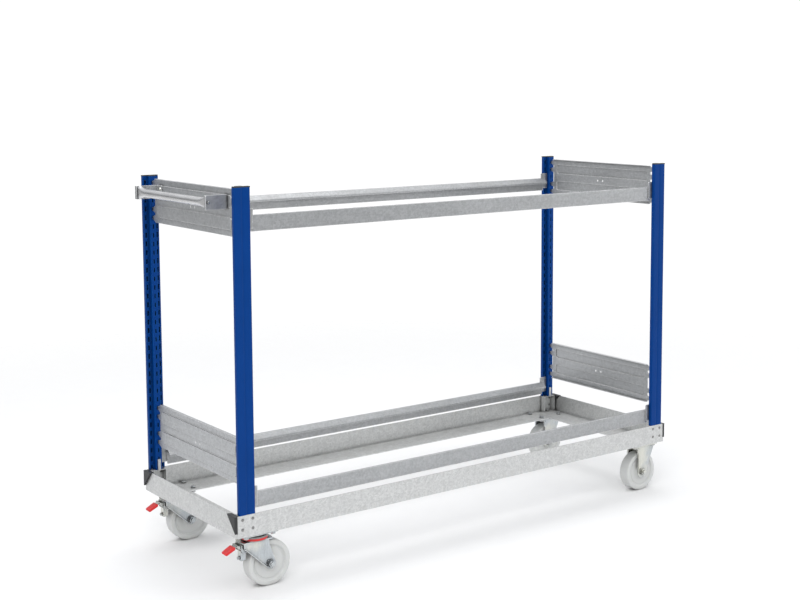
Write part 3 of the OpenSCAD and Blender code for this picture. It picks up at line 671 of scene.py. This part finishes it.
def finish_floor(colours):
    """A matt floor that fades out into the room."""
    tree, shader = new_material("studio_floor")
    grain = use_group(tree, "Surface Grain", Scale=6.0, Softness=2.0)
    base = shaded(tree, tuple(colours.floor), grain["Shade"], 0.015)
    tree.links.new(base, shader.inputs["Base Color"])
    shader.inputs["Roughness"].default_value = 0.75
    far = place_node(tree, "ShaderNodeVectorMath", {"operation": "LENGTH"}, _0=unscaled(tree))
    tree.links.new(remap(tree, far.outputs["Value"], 1.2, 4.5, 1.0, 0.0), shader.inputs["Alpha"])
    bump(tree, shader, grain["Height"], 0.01, 0.001)


# --------------------------------------------------------------- mesh helpers

TINY = 1e-9
SLACK = 1e-6
# the room of an edge that has no other across from it, and the least room that counts
OPEN_ROOM = 1.0
LEAST_ROOM = 1e-5
# an edge is sharp when its faces meet at more than this angle
SHARP_ANGLE = math.radians(24)
# a face narrower than this many sheet thicknesses is a cut face
CUT_FACE = 1.3
# the most of the room beside an edge that its rounding may take
SHARE_OF_ROOM = 0.42
# cosine between two edges' directions, below which one runs on smoothly into the other
SMOOTH_TURN = -0.8
# vertices of a CAD mesh closer than this are one
WELD_DISTANCE = 2e-6
# faces of a CAD mesh that meet at less than this angle are one flat face
FLAT_ANGLE = math.radians(0.4)


def room_beside(loop):
    """Distance from a face's edge straight across to the next edge of that face."""
    start = loop.vert.co
    way = loop.link_loop_next.vert.co - start
    length = way.length
    way /= length
    side = loop.face.normal.cross(way)
    room = OPEN_ROOM
    neighbours = {loop, loop.link_loop_next, loop.link_loop_prev}
    for other in loop.face.loops:
        if other in neighbours:
            continue
        first, second = other.vert.co - start, other.link_loop_next.vert.co - start
        a, b = first.dot(way), second.dot(way)
        if max(a, b) < 0.0 or min(a, b) > length:
            continue
        shares = [0.0, 1.0]
        if abs(b - a) > TINY:
            shares += [-a / (b - a), (length - a) / (b - a)]
        for t in shares:
            if 0.0 <= t <= 1.0 and -SLACK <= a + (b - a) * t <= length + SLACK:
                across = (first + (second - first) * t).dot(side)
                if across > LEAST_ROOM:
                    room = min(room, across)
    return room


def soft_edges(mesh, outer, inner, cut, wall):
    """Gives each sharp edge the width that its bend or cut has; returns the widest.

    An edge beside a face no wider than the sheet is a cut edge. Any other sharp edge is a bend. Each width
    leaves room for the next edge, and edges that run on smoothly from one to the next share one width.
    """
    weights = mesh.edges.layers.float.new("bevel_weight_edge")
    sharp, widths = [], {}
    for edge in mesh.edges:
        if len(edge.link_faces) == 2 and abs(edge.calc_face_angle_signed(0.0)) > SHARP_ANGLE:
            sharp.append(edge)
            room = min(room_beside(loop) for loop in edge.link_loops)
            if room < CUT_FACE * wall:
                target = cut
            else:
                target = outer if edge.calc_face_angle_signed(0.0) > 0 else inner
            widths[edge] = min(target, SHARE_OF_ROOM * room)
    chain = {edge: edge for edge in sharp}

    def head(edge):
        while chain[edge] is not edge:
            edge = chain[edge]
        return edge

    marked = set(sharp)
    for vertex in mesh.verts:
        met = [edge for edge in vertex.link_edges if edge in marked]
        if len(met) == 2:
            ways = [(edge.other_vert(vertex).co - vertex.co).normalized() for edge in met]
            if ways[0].dot(ways[1]) < SMOOTH_TURN:
                chain[head(met[0])] = head(met[1])
    least = {}
    for edge in sharp:
        least[head(edge)] = min(least.get(head(edge), OPEN_ROOM), widths[edge])
    for edge in sharp:
        edge[weights] = least[head(edge)] / outer
    return outer


def finish_piece(mesh, name, look, node, replaced=True, bevel=0.0, segments=3):
    """Turns a bmesh into a shaded piece that rides on its node's body and may stand for the node."""
    material, slot = look
    data = bpy.data.meshes.new(name)
    mesh.to_mesh(data)
    mesh.free()
    data.polygons.foreach_set("use_smooth", [True] * len(data.polygons))
    piece = bpy.data.objects.new(name, data)
    bpy.context.scene.collection.objects.link(piece)
    data.materials.append(bpy.data.materials[material])
    if bevel:
        step = piece.modifiers.new("Edges", "BEVEL")
        step.width = bevel
        step.segments = segments
        step.limit_method = "WEIGHT"
        step.use_clamp_overlap = False
    level = piece.modifiers.new("Normals", "WEIGHTED_NORMAL")
    level.keep_sharp = True
    level.weight = 80
    if replaced:
        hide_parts(node)
    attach(piece, frame["nodes"][node]["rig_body"])
    return piece


def from_frame(node):
    """A clean copy of a CAD node's mesh: welded, with its flat faces whole."""
    mesh = bmesh.new()
    mesh.from_mesh(frame["nodes"][node].data)
    bmesh.ops.remove_doubles(mesh, verts=mesh.verts, dist=WELD_DISTANCE)
    bmesh.ops.dissolve_limit(
        mesh, angle_limit=FLAT_ANGLE, verts=mesh.verts, edges=mesh.edges, use_dissolve_boundaries=False
    )
    bmesh.ops.recalc_face_normals(mesh, faces=mesh.faces)
    mesh.faces.index_update()
    return mesh


def cut_across(mesh, height):
    """Gives every face that crosses a height an edge there."""
    bmesh.ops.bisect_plane(
        mesh, geom=mesh.verts[:] + mesh.edges[:] + mesh.faces[:],
        plane_co=(0, 0, height), plane_no=(0, 0, 1),
    )


def split_between_rows(mesh, least_gap=0.004):
    """Cuts the long faces across, between the rows of slots, so that each piece of a face holds few slots."""
    heights = sorted({round(vertex.co.z, 5) for vertex in mesh.verts})
    for low, high in zip(heights, heights[1:]):
        if high - low > least_gap:
            cut_across(mesh, (low + high) / 2)


def sheet_piece(node, look, wall, sizes, suffix, fold=None, rows=False):
    """A sheet part with its bends rounded and its cut edges broken."""
    mesh = from_frame(node)
    if rows:
        split_between_rows(mesh)
    inner = sizes.fold_radius if fold is None else fold
    width = soft_edges(mesh, inner + wall, inner, sizes.cut_edge, wall)
    return finish_piece(mesh, node + suffix, look, node, bevel=width)


def solid_piece(node, look, edge, suffix="_turned", segments=2):
    """A solid part with all its sharp edges rounded alike."""
    mesh = from_frame(node)
    width = soft_edges(mesh, edge, edge, edge, 0.0)
    return finish_piece(mesh, node + suffix, look, node, bevel=width, segments=segments)


def filleted(corners, steps=5):
    """A closed outline of (radius, y, fillet) corners with each fillet drawn as an arc."""
    outline = []
    count = len(corners)
    for k, (radius, y, fillet) in enumerate(corners):
        here = Vector((radius, y))
        before = Vector(corners[k - 1][:2]) - here
        after = Vector(corners[(k + 1) % count][:2]) - here
        if not fillet:
            outline.append(here)
            continue
        reach = min(fillet, 0.45 * before.length, 0.45 * after.length)
        start, stop = here + before.normalized() * reach, here + after.normalized() * reach
        for i in range(steps + 1):
            t = i / steps
            outline.append(start * (1 - t) ** 2 + here * 2 * t * (1 - t) + stop * t ** 2)
    return outline


def turn_into(mesh, outline, centre, steps):
    """Adds a ring of revolution about an axis along Y through the centre."""
    rings = []
    for radius, y in outline:
        rings.append([
            mesh.verts.new((centre.x + radius * math.cos(a), centre.y + y, centre.z + radius * math.sin(a)))
            for a in (2 * math.pi * i / steps for i in range(steps))
        ])
    for k in range(len(rings)):
        first, second = rings[k], rings[(k + 1) % len(rings)]
        for i in range(steps):
            j = (i + 1) % steps
            mesh.faces.new((first[i], first[j], second[j], second[i]))


def loft_into(mesh, stations):
    """Adds a closed skin through rings of points, with both ends capped."""
    rings = [[mesh.verts.new(point) for point in station] for station in stations]
    for first, second in zip(rings, rings[1:]):
        for i in range(len(first)):
            j = (i + 1) % len(first)
            mesh.faces.new((first[i], first[j], second[j], second[i]))
    mesh.faces.new(rings[0])
    mesh.faces.new(list(reversed(rings[-1])))


def separate_solids(node):
    """The lowest and highest corners of each solid in a CAD node."""
    mesh = from_frame(node)
    seen, boxes = set(), []
    for start in mesh.verts:
        if start in seen:
            continue
        stack, members = [start], []
        seen.add(start)
        while stack:
            vertex = stack.pop()
            members.append(vertex.co.copy())
            for edge in vertex.link_edges:
                other = edge.other_vert(vertex)
                if other not in seen:
                    seen.add(other)
                    stack.append(other)
        boxes.append((
            Vector([min(point[k] for point in members) for k in range(3)]),
            Vector([max(point[k] for point in members) for k in range(3)]),
        ))
    mesh.free()
    return boxes


class RackOperator:
    """What every operator of the rack shares."""

    bl_options = {"REGISTER"}

    def execute(self, context):
        self.build(context.scene.rack_sizes, context.scene.rack_colours, context.scene.rack_stage)
        return {"FINISHED"}


# ------------------------------------------------------------------ operators


class RACK_OT_finishes(RackOperator, bpy.types.Operator):
    """Make the shared effects and the finishes of every material"""

    bl_idname = "rack.finishes"
    bl_label = "Finishes"

    def build(self, sizes, colours, stage):
        for make in (
            group_edge_wear_and_highlight, group_spangle, group_rolling, group_scuffs,
            group_dust, group_painted_crease_shade, group_grain,
        ):
            make()
        finish_powder_coat(colours)
        finish_plastic(BLACK[0], tuple(colours.cap_plastic), 900.0, 0.38, 0.15, (0.10, 0.10, 0.10, 1.0), 0.10)
        finish_plastic(RED[0], tuple(colours.red_plastic), 700.0, 0.28, 0.08, (0.78, 0.16, 0.14, 1.0), 0.12)
        finish_galvanised(GALVANISED[0], tuple(colours.galvanised))
        sheet = tuple(colours.zinc_sheet)
        # the rails and hook plates take a darker copy of the same sheet colour: painted shade for the shade
        # they stand in
        painted_shade_sheet = tuple(0.86 * c for c in sheet)
        finish_zinc_sheet(SHEET_ALONG[0], painted_shade_sheet, (2.5, 120.0, 120.0))
        finish_zinc_sheet(SHEET_ACROSS[0], sheet, (120.0, 2.5, 120.0))
        finish_bright_metal(GRIP[0], tuple(colours.grip), 0.20, (160.0, 4.0, 160.0))
        yellowed = (0.66, 0.66, 0.60, 1.0)
        finish_bright_metal(PLATED[0], tuple(colours.bright_zinc), 0.16, (60.0, 60.0, 8.0), yellowed)
        finish_bright_metal(STEEL[0], tuple(colours.steel), 0.25, (90.0, 9.0, 90.0))
        finish_polyamide(colours)


class RACK_OT_uprights(RackOperator, bpy.types.Operator):
    """Make the four powder coated uprights"""

    bl_idname = "rack.uprights"
    bl_label = "Uprights"

    def build(self, sizes, colours, stage):
        for corner in CORNERS:
            sheet_piece("upright_" + corner, POWDER_COAT, UPRIGHT_WALL, sizes, "_section", rows=True)


class RACK_OT_caps_and_bumpers(RackOperator, bpy.types.Operator):
    """Make the black post caps and corner bumpers"""

    bl_idname = "rack.caps_and_bumpers"
    bl_label = "Caps and Bumpers"

    def build(self, sizes, colours, stage):
        solid_piece("post_caps", BLACK, sizes.moulded_edge * 0.6, "_moulded", segments=3)
        solid_piece("corner_bumpers", BLACK, sizes.moulded_edge, "_moulded", segments=3)


class RACK_OT_chassis(RackOperator, bpy.types.Operator):
    """Make the galvanised chassis channels and the feet that hold the uprights"""

    bl_idname = "rack.chassis"
    bl_label = "Chassis"

    def build(self, sizes, colours, stage):
        for place in ENDS + SIDES:
            sheet_piece("channel_" + place, GALVANISED, CHASSIS_WALL, sizes, "_folded")
        for corner in CORNERS:
            sheet_piece("post_foot_" + corner, GALVANISED, CHASSIS_WALL, sizes, "_pressing")


class RACK_OT_rails(RackOperator, bpy.types.Operator):
    """Make the four tyre rails and their hook plates"""

    bl_idname = "rack.rails"
    bl_label = "Tyre Rails"

    def build(self, sizes, colours, stage):
        for level in LEVELS:
            for end in ENDS:
                sheet_piece(f"rail_{level}_{end}", SHEET_ALONG, RAIL_WALL, sizes, "_folded")
            sheet_piece("rail_hooks_" + level, SHEET_ALONG, HOOK_PLATE, sizes, "_plates", PLATE_FOLD)


class RACK_OT_end_panels(RackOperator, bpy.types.Operator):
    """Make the four pressed end panels"""

    bl_idname = "rack.end_panels"
    bl_label = "End Panels"

    def build(self, sizes, colours, stage):
        for level in LEVELS:
            for side in SIDES:
                node = f"panel_{level}_{side}"
                sheet_piece(node, SHEET_ACROSS, PANEL_WALL, sizes, "_pressed", PRESSED_FOLD)


class RACK_OT_push_handle(RackOperator, bpy.types.Operator):
    """Make the push handle"""

    bl_idname = "rack.push_handle"
    bl_label = "Push Handle"

    def build(self, sizes, colours, stage):
        for end in ENDS:
            sheet_piece("handle_arm_" + end, SHEET_ACROSS, ARM_WALL, sizes, "_bent")
        self.grip(sizes)
        solid_piece("handle_screws", PLATED, FINE_EDGE)

    def grip(self, sizes):
        """A round bar that flares into a tall rounded end at each arm."""
        low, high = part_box("handle_grip")
        centre, half = (low + high) / 2, (high - low) / 2
        bar, tall, thin = half.x, half.z, sizes.grip_end_thickness / 2
        reach = sizes.grip_flare
        stations = []
        rounding = 0.0014
        places = [half.y, half.y - rounding * 0.3, half.y - rounding]
        insets = [rounding, rounding * 0.3, 0.0]
        steps, points = 14, 40
        for i in range(1, steps + 1):
            places.append(half.y - rounding - (reach - rounding) * i / steps)
            insets.append(0.0)
        places += [-place for place in reversed(places)]
        insets += list(reversed(insets))
        for place, inset in zip(places, insets):
            t = min(1.0, max(0.0, (abs(place) - (half.y - reach)) / (reach - rounding)))
            ease = t * t * (3 - 2 * t)
            across = bar + (thin - bar) * ease - inset
            spread = (tall - thin) * t ** 1.9
            ring = []
            for k in range(points):
                angle = 2 * math.pi * (k + 0.5) / points
                rise = across * math.sin(angle)
                ring.append((
                    centre.x + across * math.cos(angle),
                    centre.y + place,
                    centre.z + rise + math.copysign(spread, rise),
                ))
            stations.append(ring)
        mesh = bmesh.new()
        loft_into(mesh, stations)
        bmesh.ops.recalc_face_normals(mesh, faces=mesh.faces)
        finish_piece(mesh, "handle_grip_flared", GRIP, "handle_grip")


class RACK_OT_fasteners(RackOperator, bpy.types.Operator):
    """Make the rivets, bolts and nuts of the chassis"""

    bl_idname = "rack.fasteners"
    bl_label = "Fasteners"

    def build(self, sizes, colours, stage):
        self.rivets(sizes)
        solid_piece("caster_bolts", PLATED, FASTENER_EDGE)
        solid_piece("caster_nuts", PLATED, FASTENER_EDGE)

    def rivets(self, sizes):
        """Domed heads outside, with a shank and an upset tail inside the post foot."""
        mesh = bmesh.new()
        for low, high in separate_solids("foot_rivets"):
            centre, half = (low + high) / 2, (high - low) / 2
            out = math.copysign(1.0, centre.y)
            head, tail, shank = half.x, half.x * 0.80, half.x * 0.58
            head_height, pinhole = 0.0012, 0.00005
            rise = head_height * sizes.rivet_dome
            dome = [
                (head * math.cos(a), head_height - rise + rise * math.sin(a))
                for a in (math.radians(10 * i) for i in range(9))
            ]
            depth = 2 * half.y - head_height
            tail_top, tail_shoulder, tail_rim = 0.002, 0.0016, 0.0005
            outline = [(pinhole, dome[-1][1])] + dome[::-1] + [
                (head, 0.0), (shank, 0.0), (shank, tail_top - depth), (tail, tail_shoulder - depth),
                (tail, tail_rim - depth), (tail * 0.8, -depth), (pinhole, -depth),
            ]
            face = centre + Vector((0.0, out * (half.y - head_height), 0.0))
            turn_into(mesh, [(radius, y * out) for radius, y in outline], face, steps=24)
        bmesh.ops.recalc_face_normals(mesh, faces=mesh.faces)
        finish_piece(mesh, "foot_rivets_domed", STEEL, "foot_rivets")


class RACK_OT_caster_frames(RackOperator, bpy.types.Operator):
    """Make the plates, races, forks and brakes of the casters"""

    bl_idname = "rack.caster_frames"
    bl_label = "Caster Frames"

    def build(self, sizes, colours, stage):
        for end in ENDS:
            solid_piece("swivel_plate_" + end, PLATED, PLATE_EDGE, "_pressing")
            self.race("swivel_race_" + end, sizes)
            solid_piece("kingpin_" + end, STEEL, PLATE_EDGE)
            sheet_piece("swivel_fork_" + end, PLATED, FORK_WALL, sizes, "_pressing")
            sheet_piece("rigid_fork_" + end, PLATED, FORK_WALL, sizes, "_pressing")
            sheet_piece("brake_bracket_" + end, PLATED, BRAKE_WALL, sizes, "_pressing", PRESSED_FOLD)
            sheet_piece("brake_pedal_" + end, PLATED, BRAKE_WALL, sizes, "_pressing", PRESSED_FOLD)
            solid_piece("pedal_tip_" + end, RED, sizes.moulded_edge, "_moulded", segments=3)
            self.ribs(end, sizes)

    def race(self, node, sizes):
        """A red seal round the race, which is steel above, below and inside it."""
        ring = solid_piece(node, RED, RACE_EDGE, "_ring", segments=3)
        ring.data.materials.append(bpy.data.materials[STEEL[0]])
        low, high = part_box(node)
        middle = (low + high) / 2
        bottom, top = (low.z + share * (high.z - low.z) for share in sizes.seal_band)
        seal_inside = (high.x - low.x) * 0.435
        mesh = bmesh.new()
        mesh.from_mesh(ring.data)
        cut_across(mesh, bottom)
        cut_across(mesh, top)
        for face in mesh.faces:
            offset = face.calc_center_median() - middle
            inside = math.hypot(offset.x, offset.y) < seal_inside
            face.material_index = int(inside or not bottom < offset.z + middle.z < top)
        mesh.to_mesh(ring.data)
        mesh.free()

    def ribs(self, end, sizes):
        """Rounded ribs across the top of a pedal's tip, set a little into it."""
        node = "pedal_tip_" + end
        mesh = from_frame(node)
        top = max((face for face in mesh.faces if face.normal.z > 0.5), key=lambda face: face.calc_area())
        normal, middle = top.normal.copy(), top.calc_center_bounds()
        mesh.free()
        low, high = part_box(node)
        along = Vector((0.0, 1.0, 0.0)).cross(normal).normalized()
        half_width = (high.y - low.y) * 0.36
        ribbed_length = (high.x - low.x) * 0.52
        radius, sunk = 0.0011, 0.35
        # places along a rib as shares of its half width, and its girth there as a share of the radius
        profile = ((-1.0, 0.35), (-0.94, 0.8), (-0.8, 1.0), (0.8, 1.0), (0.94, 0.8), (1.0, 0.35))
        ribs = bmesh.new()
        for k in range(sizes.pedal_ribs):
            share = k / (sizes.pedal_ribs - 1) - 0.5
            place = middle + along * ribbed_length * share - normal * radius * sunk
            stations = []
            for step, girth in profile:
                start = place + Vector((0.0, step * half_width, 0.0))
                stations.append([
                    start + (along * math.cos(a) + normal * math.sin(a)) * (radius * girth)
                    for a in (2 * math.pi * i / 12 for i in range(12))
                ])
            loft_into(ribs, stations)
        bmesh.ops.recalc_face_normals(ribs, faces=ribs.faces)
        finish_piece(ribs, node + "_ribs", RED, node, replaced=False)


class RACK_OT_wheels(RackOperator, bpy.types.Operator):
    """Make the polyamide wheels with their bushes and axles"""

    bl_idname = "rack.wheels"
    bl_label = "Wheels"

    def build(self, sizes, colours, stage):
        for kind in ("swivel", "rigid"):
            for end in ENDS:
                self.wheel(f"{kind}_wheel_{end}", f"{kind}_bush_{end}", sizes)
                solid_piece(f"{kind}_bush_{end}", STEEL, FINE_EDGE)
                solid_piece(f"{kind}_axle_{end}", PLATED, FASTENER_EDGE)

    def wheel(self, node, bush, sizes):
        """A moulded wheel: crowned tread, soft shoulders, a ring in each side and a raised hub."""
        low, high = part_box(node)
        centre, half = (low + high) / 2, (high - low) / 2
        inner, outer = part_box(bush)
        bore = (outer.z - inner.z) / 2
        radius, hub, rim = half.z, half.y, half.y - 0.0015
        web, fall = rim - sizes.web_recess, sizes.tread_crown
        ring = radius * 0.66
        # from the bore out to the tread: radius, distance from the wheel's middle, fillet
        side = [
            (bore, hub, 0.0006), (bore + 0.0085, hub, 0.0020), (bore + 0.0120, web + 0.0004, 0.0030),
            (ring, web, 0.0010), (ring + 0.0012, web - sizes.side_ring_depth, 0.0008),
            (ring + 0.0034, web - sizes.side_ring_depth, 0.0008), (ring + 0.0046, web, 0.0010),
            (radius - 0.0160, web, 0.0030), (radius - 0.0125, rim, 0.0028),
            (radius - 0.0008, rim, sizes.shoulder_radius), (radius - fall * 0.2, rim * 0.55, 0.0060),
        ]
        corners = side + [(radius, 0.0, 0.004)] + [(r, -y, fillet) for r, y, fillet in reversed(side)]
        mesh = bmesh.new()
        turn_into(mesh, filleted(corners), centre, steps=128)
        bmesh.ops.recalc_face_normals(mesh, faces=mesh.faces)
        finish_piece(mesh, node + "_moulded", POLYAMIDE, node)


def soft_light(name, place, target, size, power):
    lamp = bpy.data.lights.new(name, "AREA")
    lamp.shape = "RECTANGLE"
    lamp.size, lamp.size_y = size
    lamp.energy = power
    light = bpy.data.objects.new(name, lamp)
    bpy.context.scene.collection.objects.link(light)
    light.location = place
    light.rotation_mode = "QUATERNION"
    light.rotation_quaternion = (Vector(target) - Vector(place)).to_track_quat("-Z", "Y")


class RACK_OT_stage(RackOperator, bpy.types.Operator):
    """Make the floor, the soft studio lights and the camera"""

    bl_idname = "rack.stage"
    bl_label = "Stage"

    def build(self, sizes, colours, stage):
        low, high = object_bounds()
        centre = (low + high) / 2
        mesh = bmesh.new()
        bmesh.ops.create_grid(mesh, x_segments=8, y_segments=8, size=30.0)
        data = bpy.data.meshes.new("studio_floor")
        mesh.to_mesh(data)
        mesh.free()
        floor = bpy.data.objects.new("studio_floor", data)
        floor.location = (centre.x, centre.y, low.z)
        bpy.context.scene.collection.objects.link(floor)
        finish_floor(colours)
        data.materials.append(bpy.data.materials["studio_floor"])
        floor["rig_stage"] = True
        soft_light("key_light", (-2.6, -2.6, 3.2), centre, (2.4, 2.4), stage.key_power)
        soft_light("fill_light", (3.4, -2.4, 1.8), centre, (2.6, 2.0), stage.fill_power)
        soft_light("top_light", (0.3, 0.9, 3.6), centre, (3.2, 2.0), stage.top_power)
        world = bpy.data.worlds.new("studio_room")
        world.use_nodes = True
        tree = world.node_tree
        background = tree.nodes["Background"]
        direction = place_node(tree, "ShaderNodeTexCoord").outputs["Generated"]
        axes = place_node(tree, "ShaderNodeSeparateXYZ", Vector=direction)
        height = remap(tree, axes.outputs["Z"], 0.0, 0.75)
        across = remap(tree, axes.outputs["X"], -0.9, 0.4)
        walls = mixed(tree, across, (0.20, 0.205, 0.21, 1.0), (0.42, 0.43, 0.44, 1.0))
        room = mixed(tree, height, walls, (1.15, 1.16, 1.18, 1.0))
        room = mixed(tree, remap(tree, axes.outputs["Z"], -0.12, 0.0), (0.80, 0.80, 0.80, 1.0), room)
        seen = place_node(tree, "ShaderNodeLightPath").outputs["Is Camera Ray"]
        backdrop = (1.05 / stage.sky_strength,) * 3 + (1.0,)
        tree.links.new(mixed(tree, seen, room, backdrop), background.inputs["Color"])
        background.inputs["Strength"].default_value = stage.sky_strength
        bpy.context.scene.view_settings.view_transform = "Standard"
        bpy.context.scene.world = world
        lens = bpy.data.cameras.new("camera")
        lens.lens = stage.camera_lens
        lens.sensor_width = 36.0
        lens.shift_x, lens.shift_y = stage.camera_shift
        camera = bpy.data.objects.new("camera", lens)
        bpy.context.scene.collection.objects.link(camera)
        camera.rotation_mode = "XYZ"
        tilt = math.pi / 2 - stage.camera_elevation
        camera.rotation_euler = (tilt, stage.camera_roll, -stage.camera_azimuth)
        camera.location = stage.camera_place
        bpy.context.scene.camera = camera


PIECE_OPERATORS = (
    RACK_OT_finishes, RACK_OT_uprights, RACK_OT_caps_and_bumpers, RACK_OT_chassis, RACK_OT_rails,
    RACK_OT_end_panels, RACK_OT_push_handle, RACK_OT_fasteners, RACK_OT_caster_frames, RACK_OT_wheels,
    RACK_OT_stage,
)


class RACK_PT_panel(bpy.types.Panel):
    """Lists the rack's sizes, colours and pieces"""

    bl_idname = "RACK_PT_panel"
    bl_label = "Tyre Rack"
    bl_space_type = "VIEW_3D"
    bl_region_type = "UI"
    bl_category = "Tyre Rack"

    def draw(self, context):
        for group in (context.scene.rack_sizes, context.scene.rack_colours, context.scene.rack_stage):
            box = self.layout.box()
            for name in group.bl_rna.properties.keys():
                if name not in {"rna_type", "name"}:
                    box.prop(group, name)
        for operator in PIECE_OPERATORS:
            self.layout.operator(operator.bl_idname)


CLASSES = (RackSizes, RackColours, StageSettings) + PIECE_OPERATORS + (RACK_PT_panel,)


def register():
    for each in CLASSES:
        bpy.utils.register_class(each)
    bpy.types.Scene.rack_sizes = PointerProperty(type=RackSizes)
    bpy.types.Scene.rack_colours = PointerProperty(type=RackColours)
    bpy.types.Scene.rack_stage = PointerProperty(type=StageSettings)


def unregister():
    del bpy.types.Scene.rack_stage
    del bpy.types.Scene.rack_colours
    del bpy.types.Scene.rack_sizes
    for each in reversed(CLASSES):
        bpy.utils.unregister_class(each)


def main():
    register()
    for operator in PIECE_OPERATORS:
        section, name = operator.bl_idname.split(".")
        getattr(getattr(bpy.ops, section), name)()


if __name__ == "__main__":
    main()
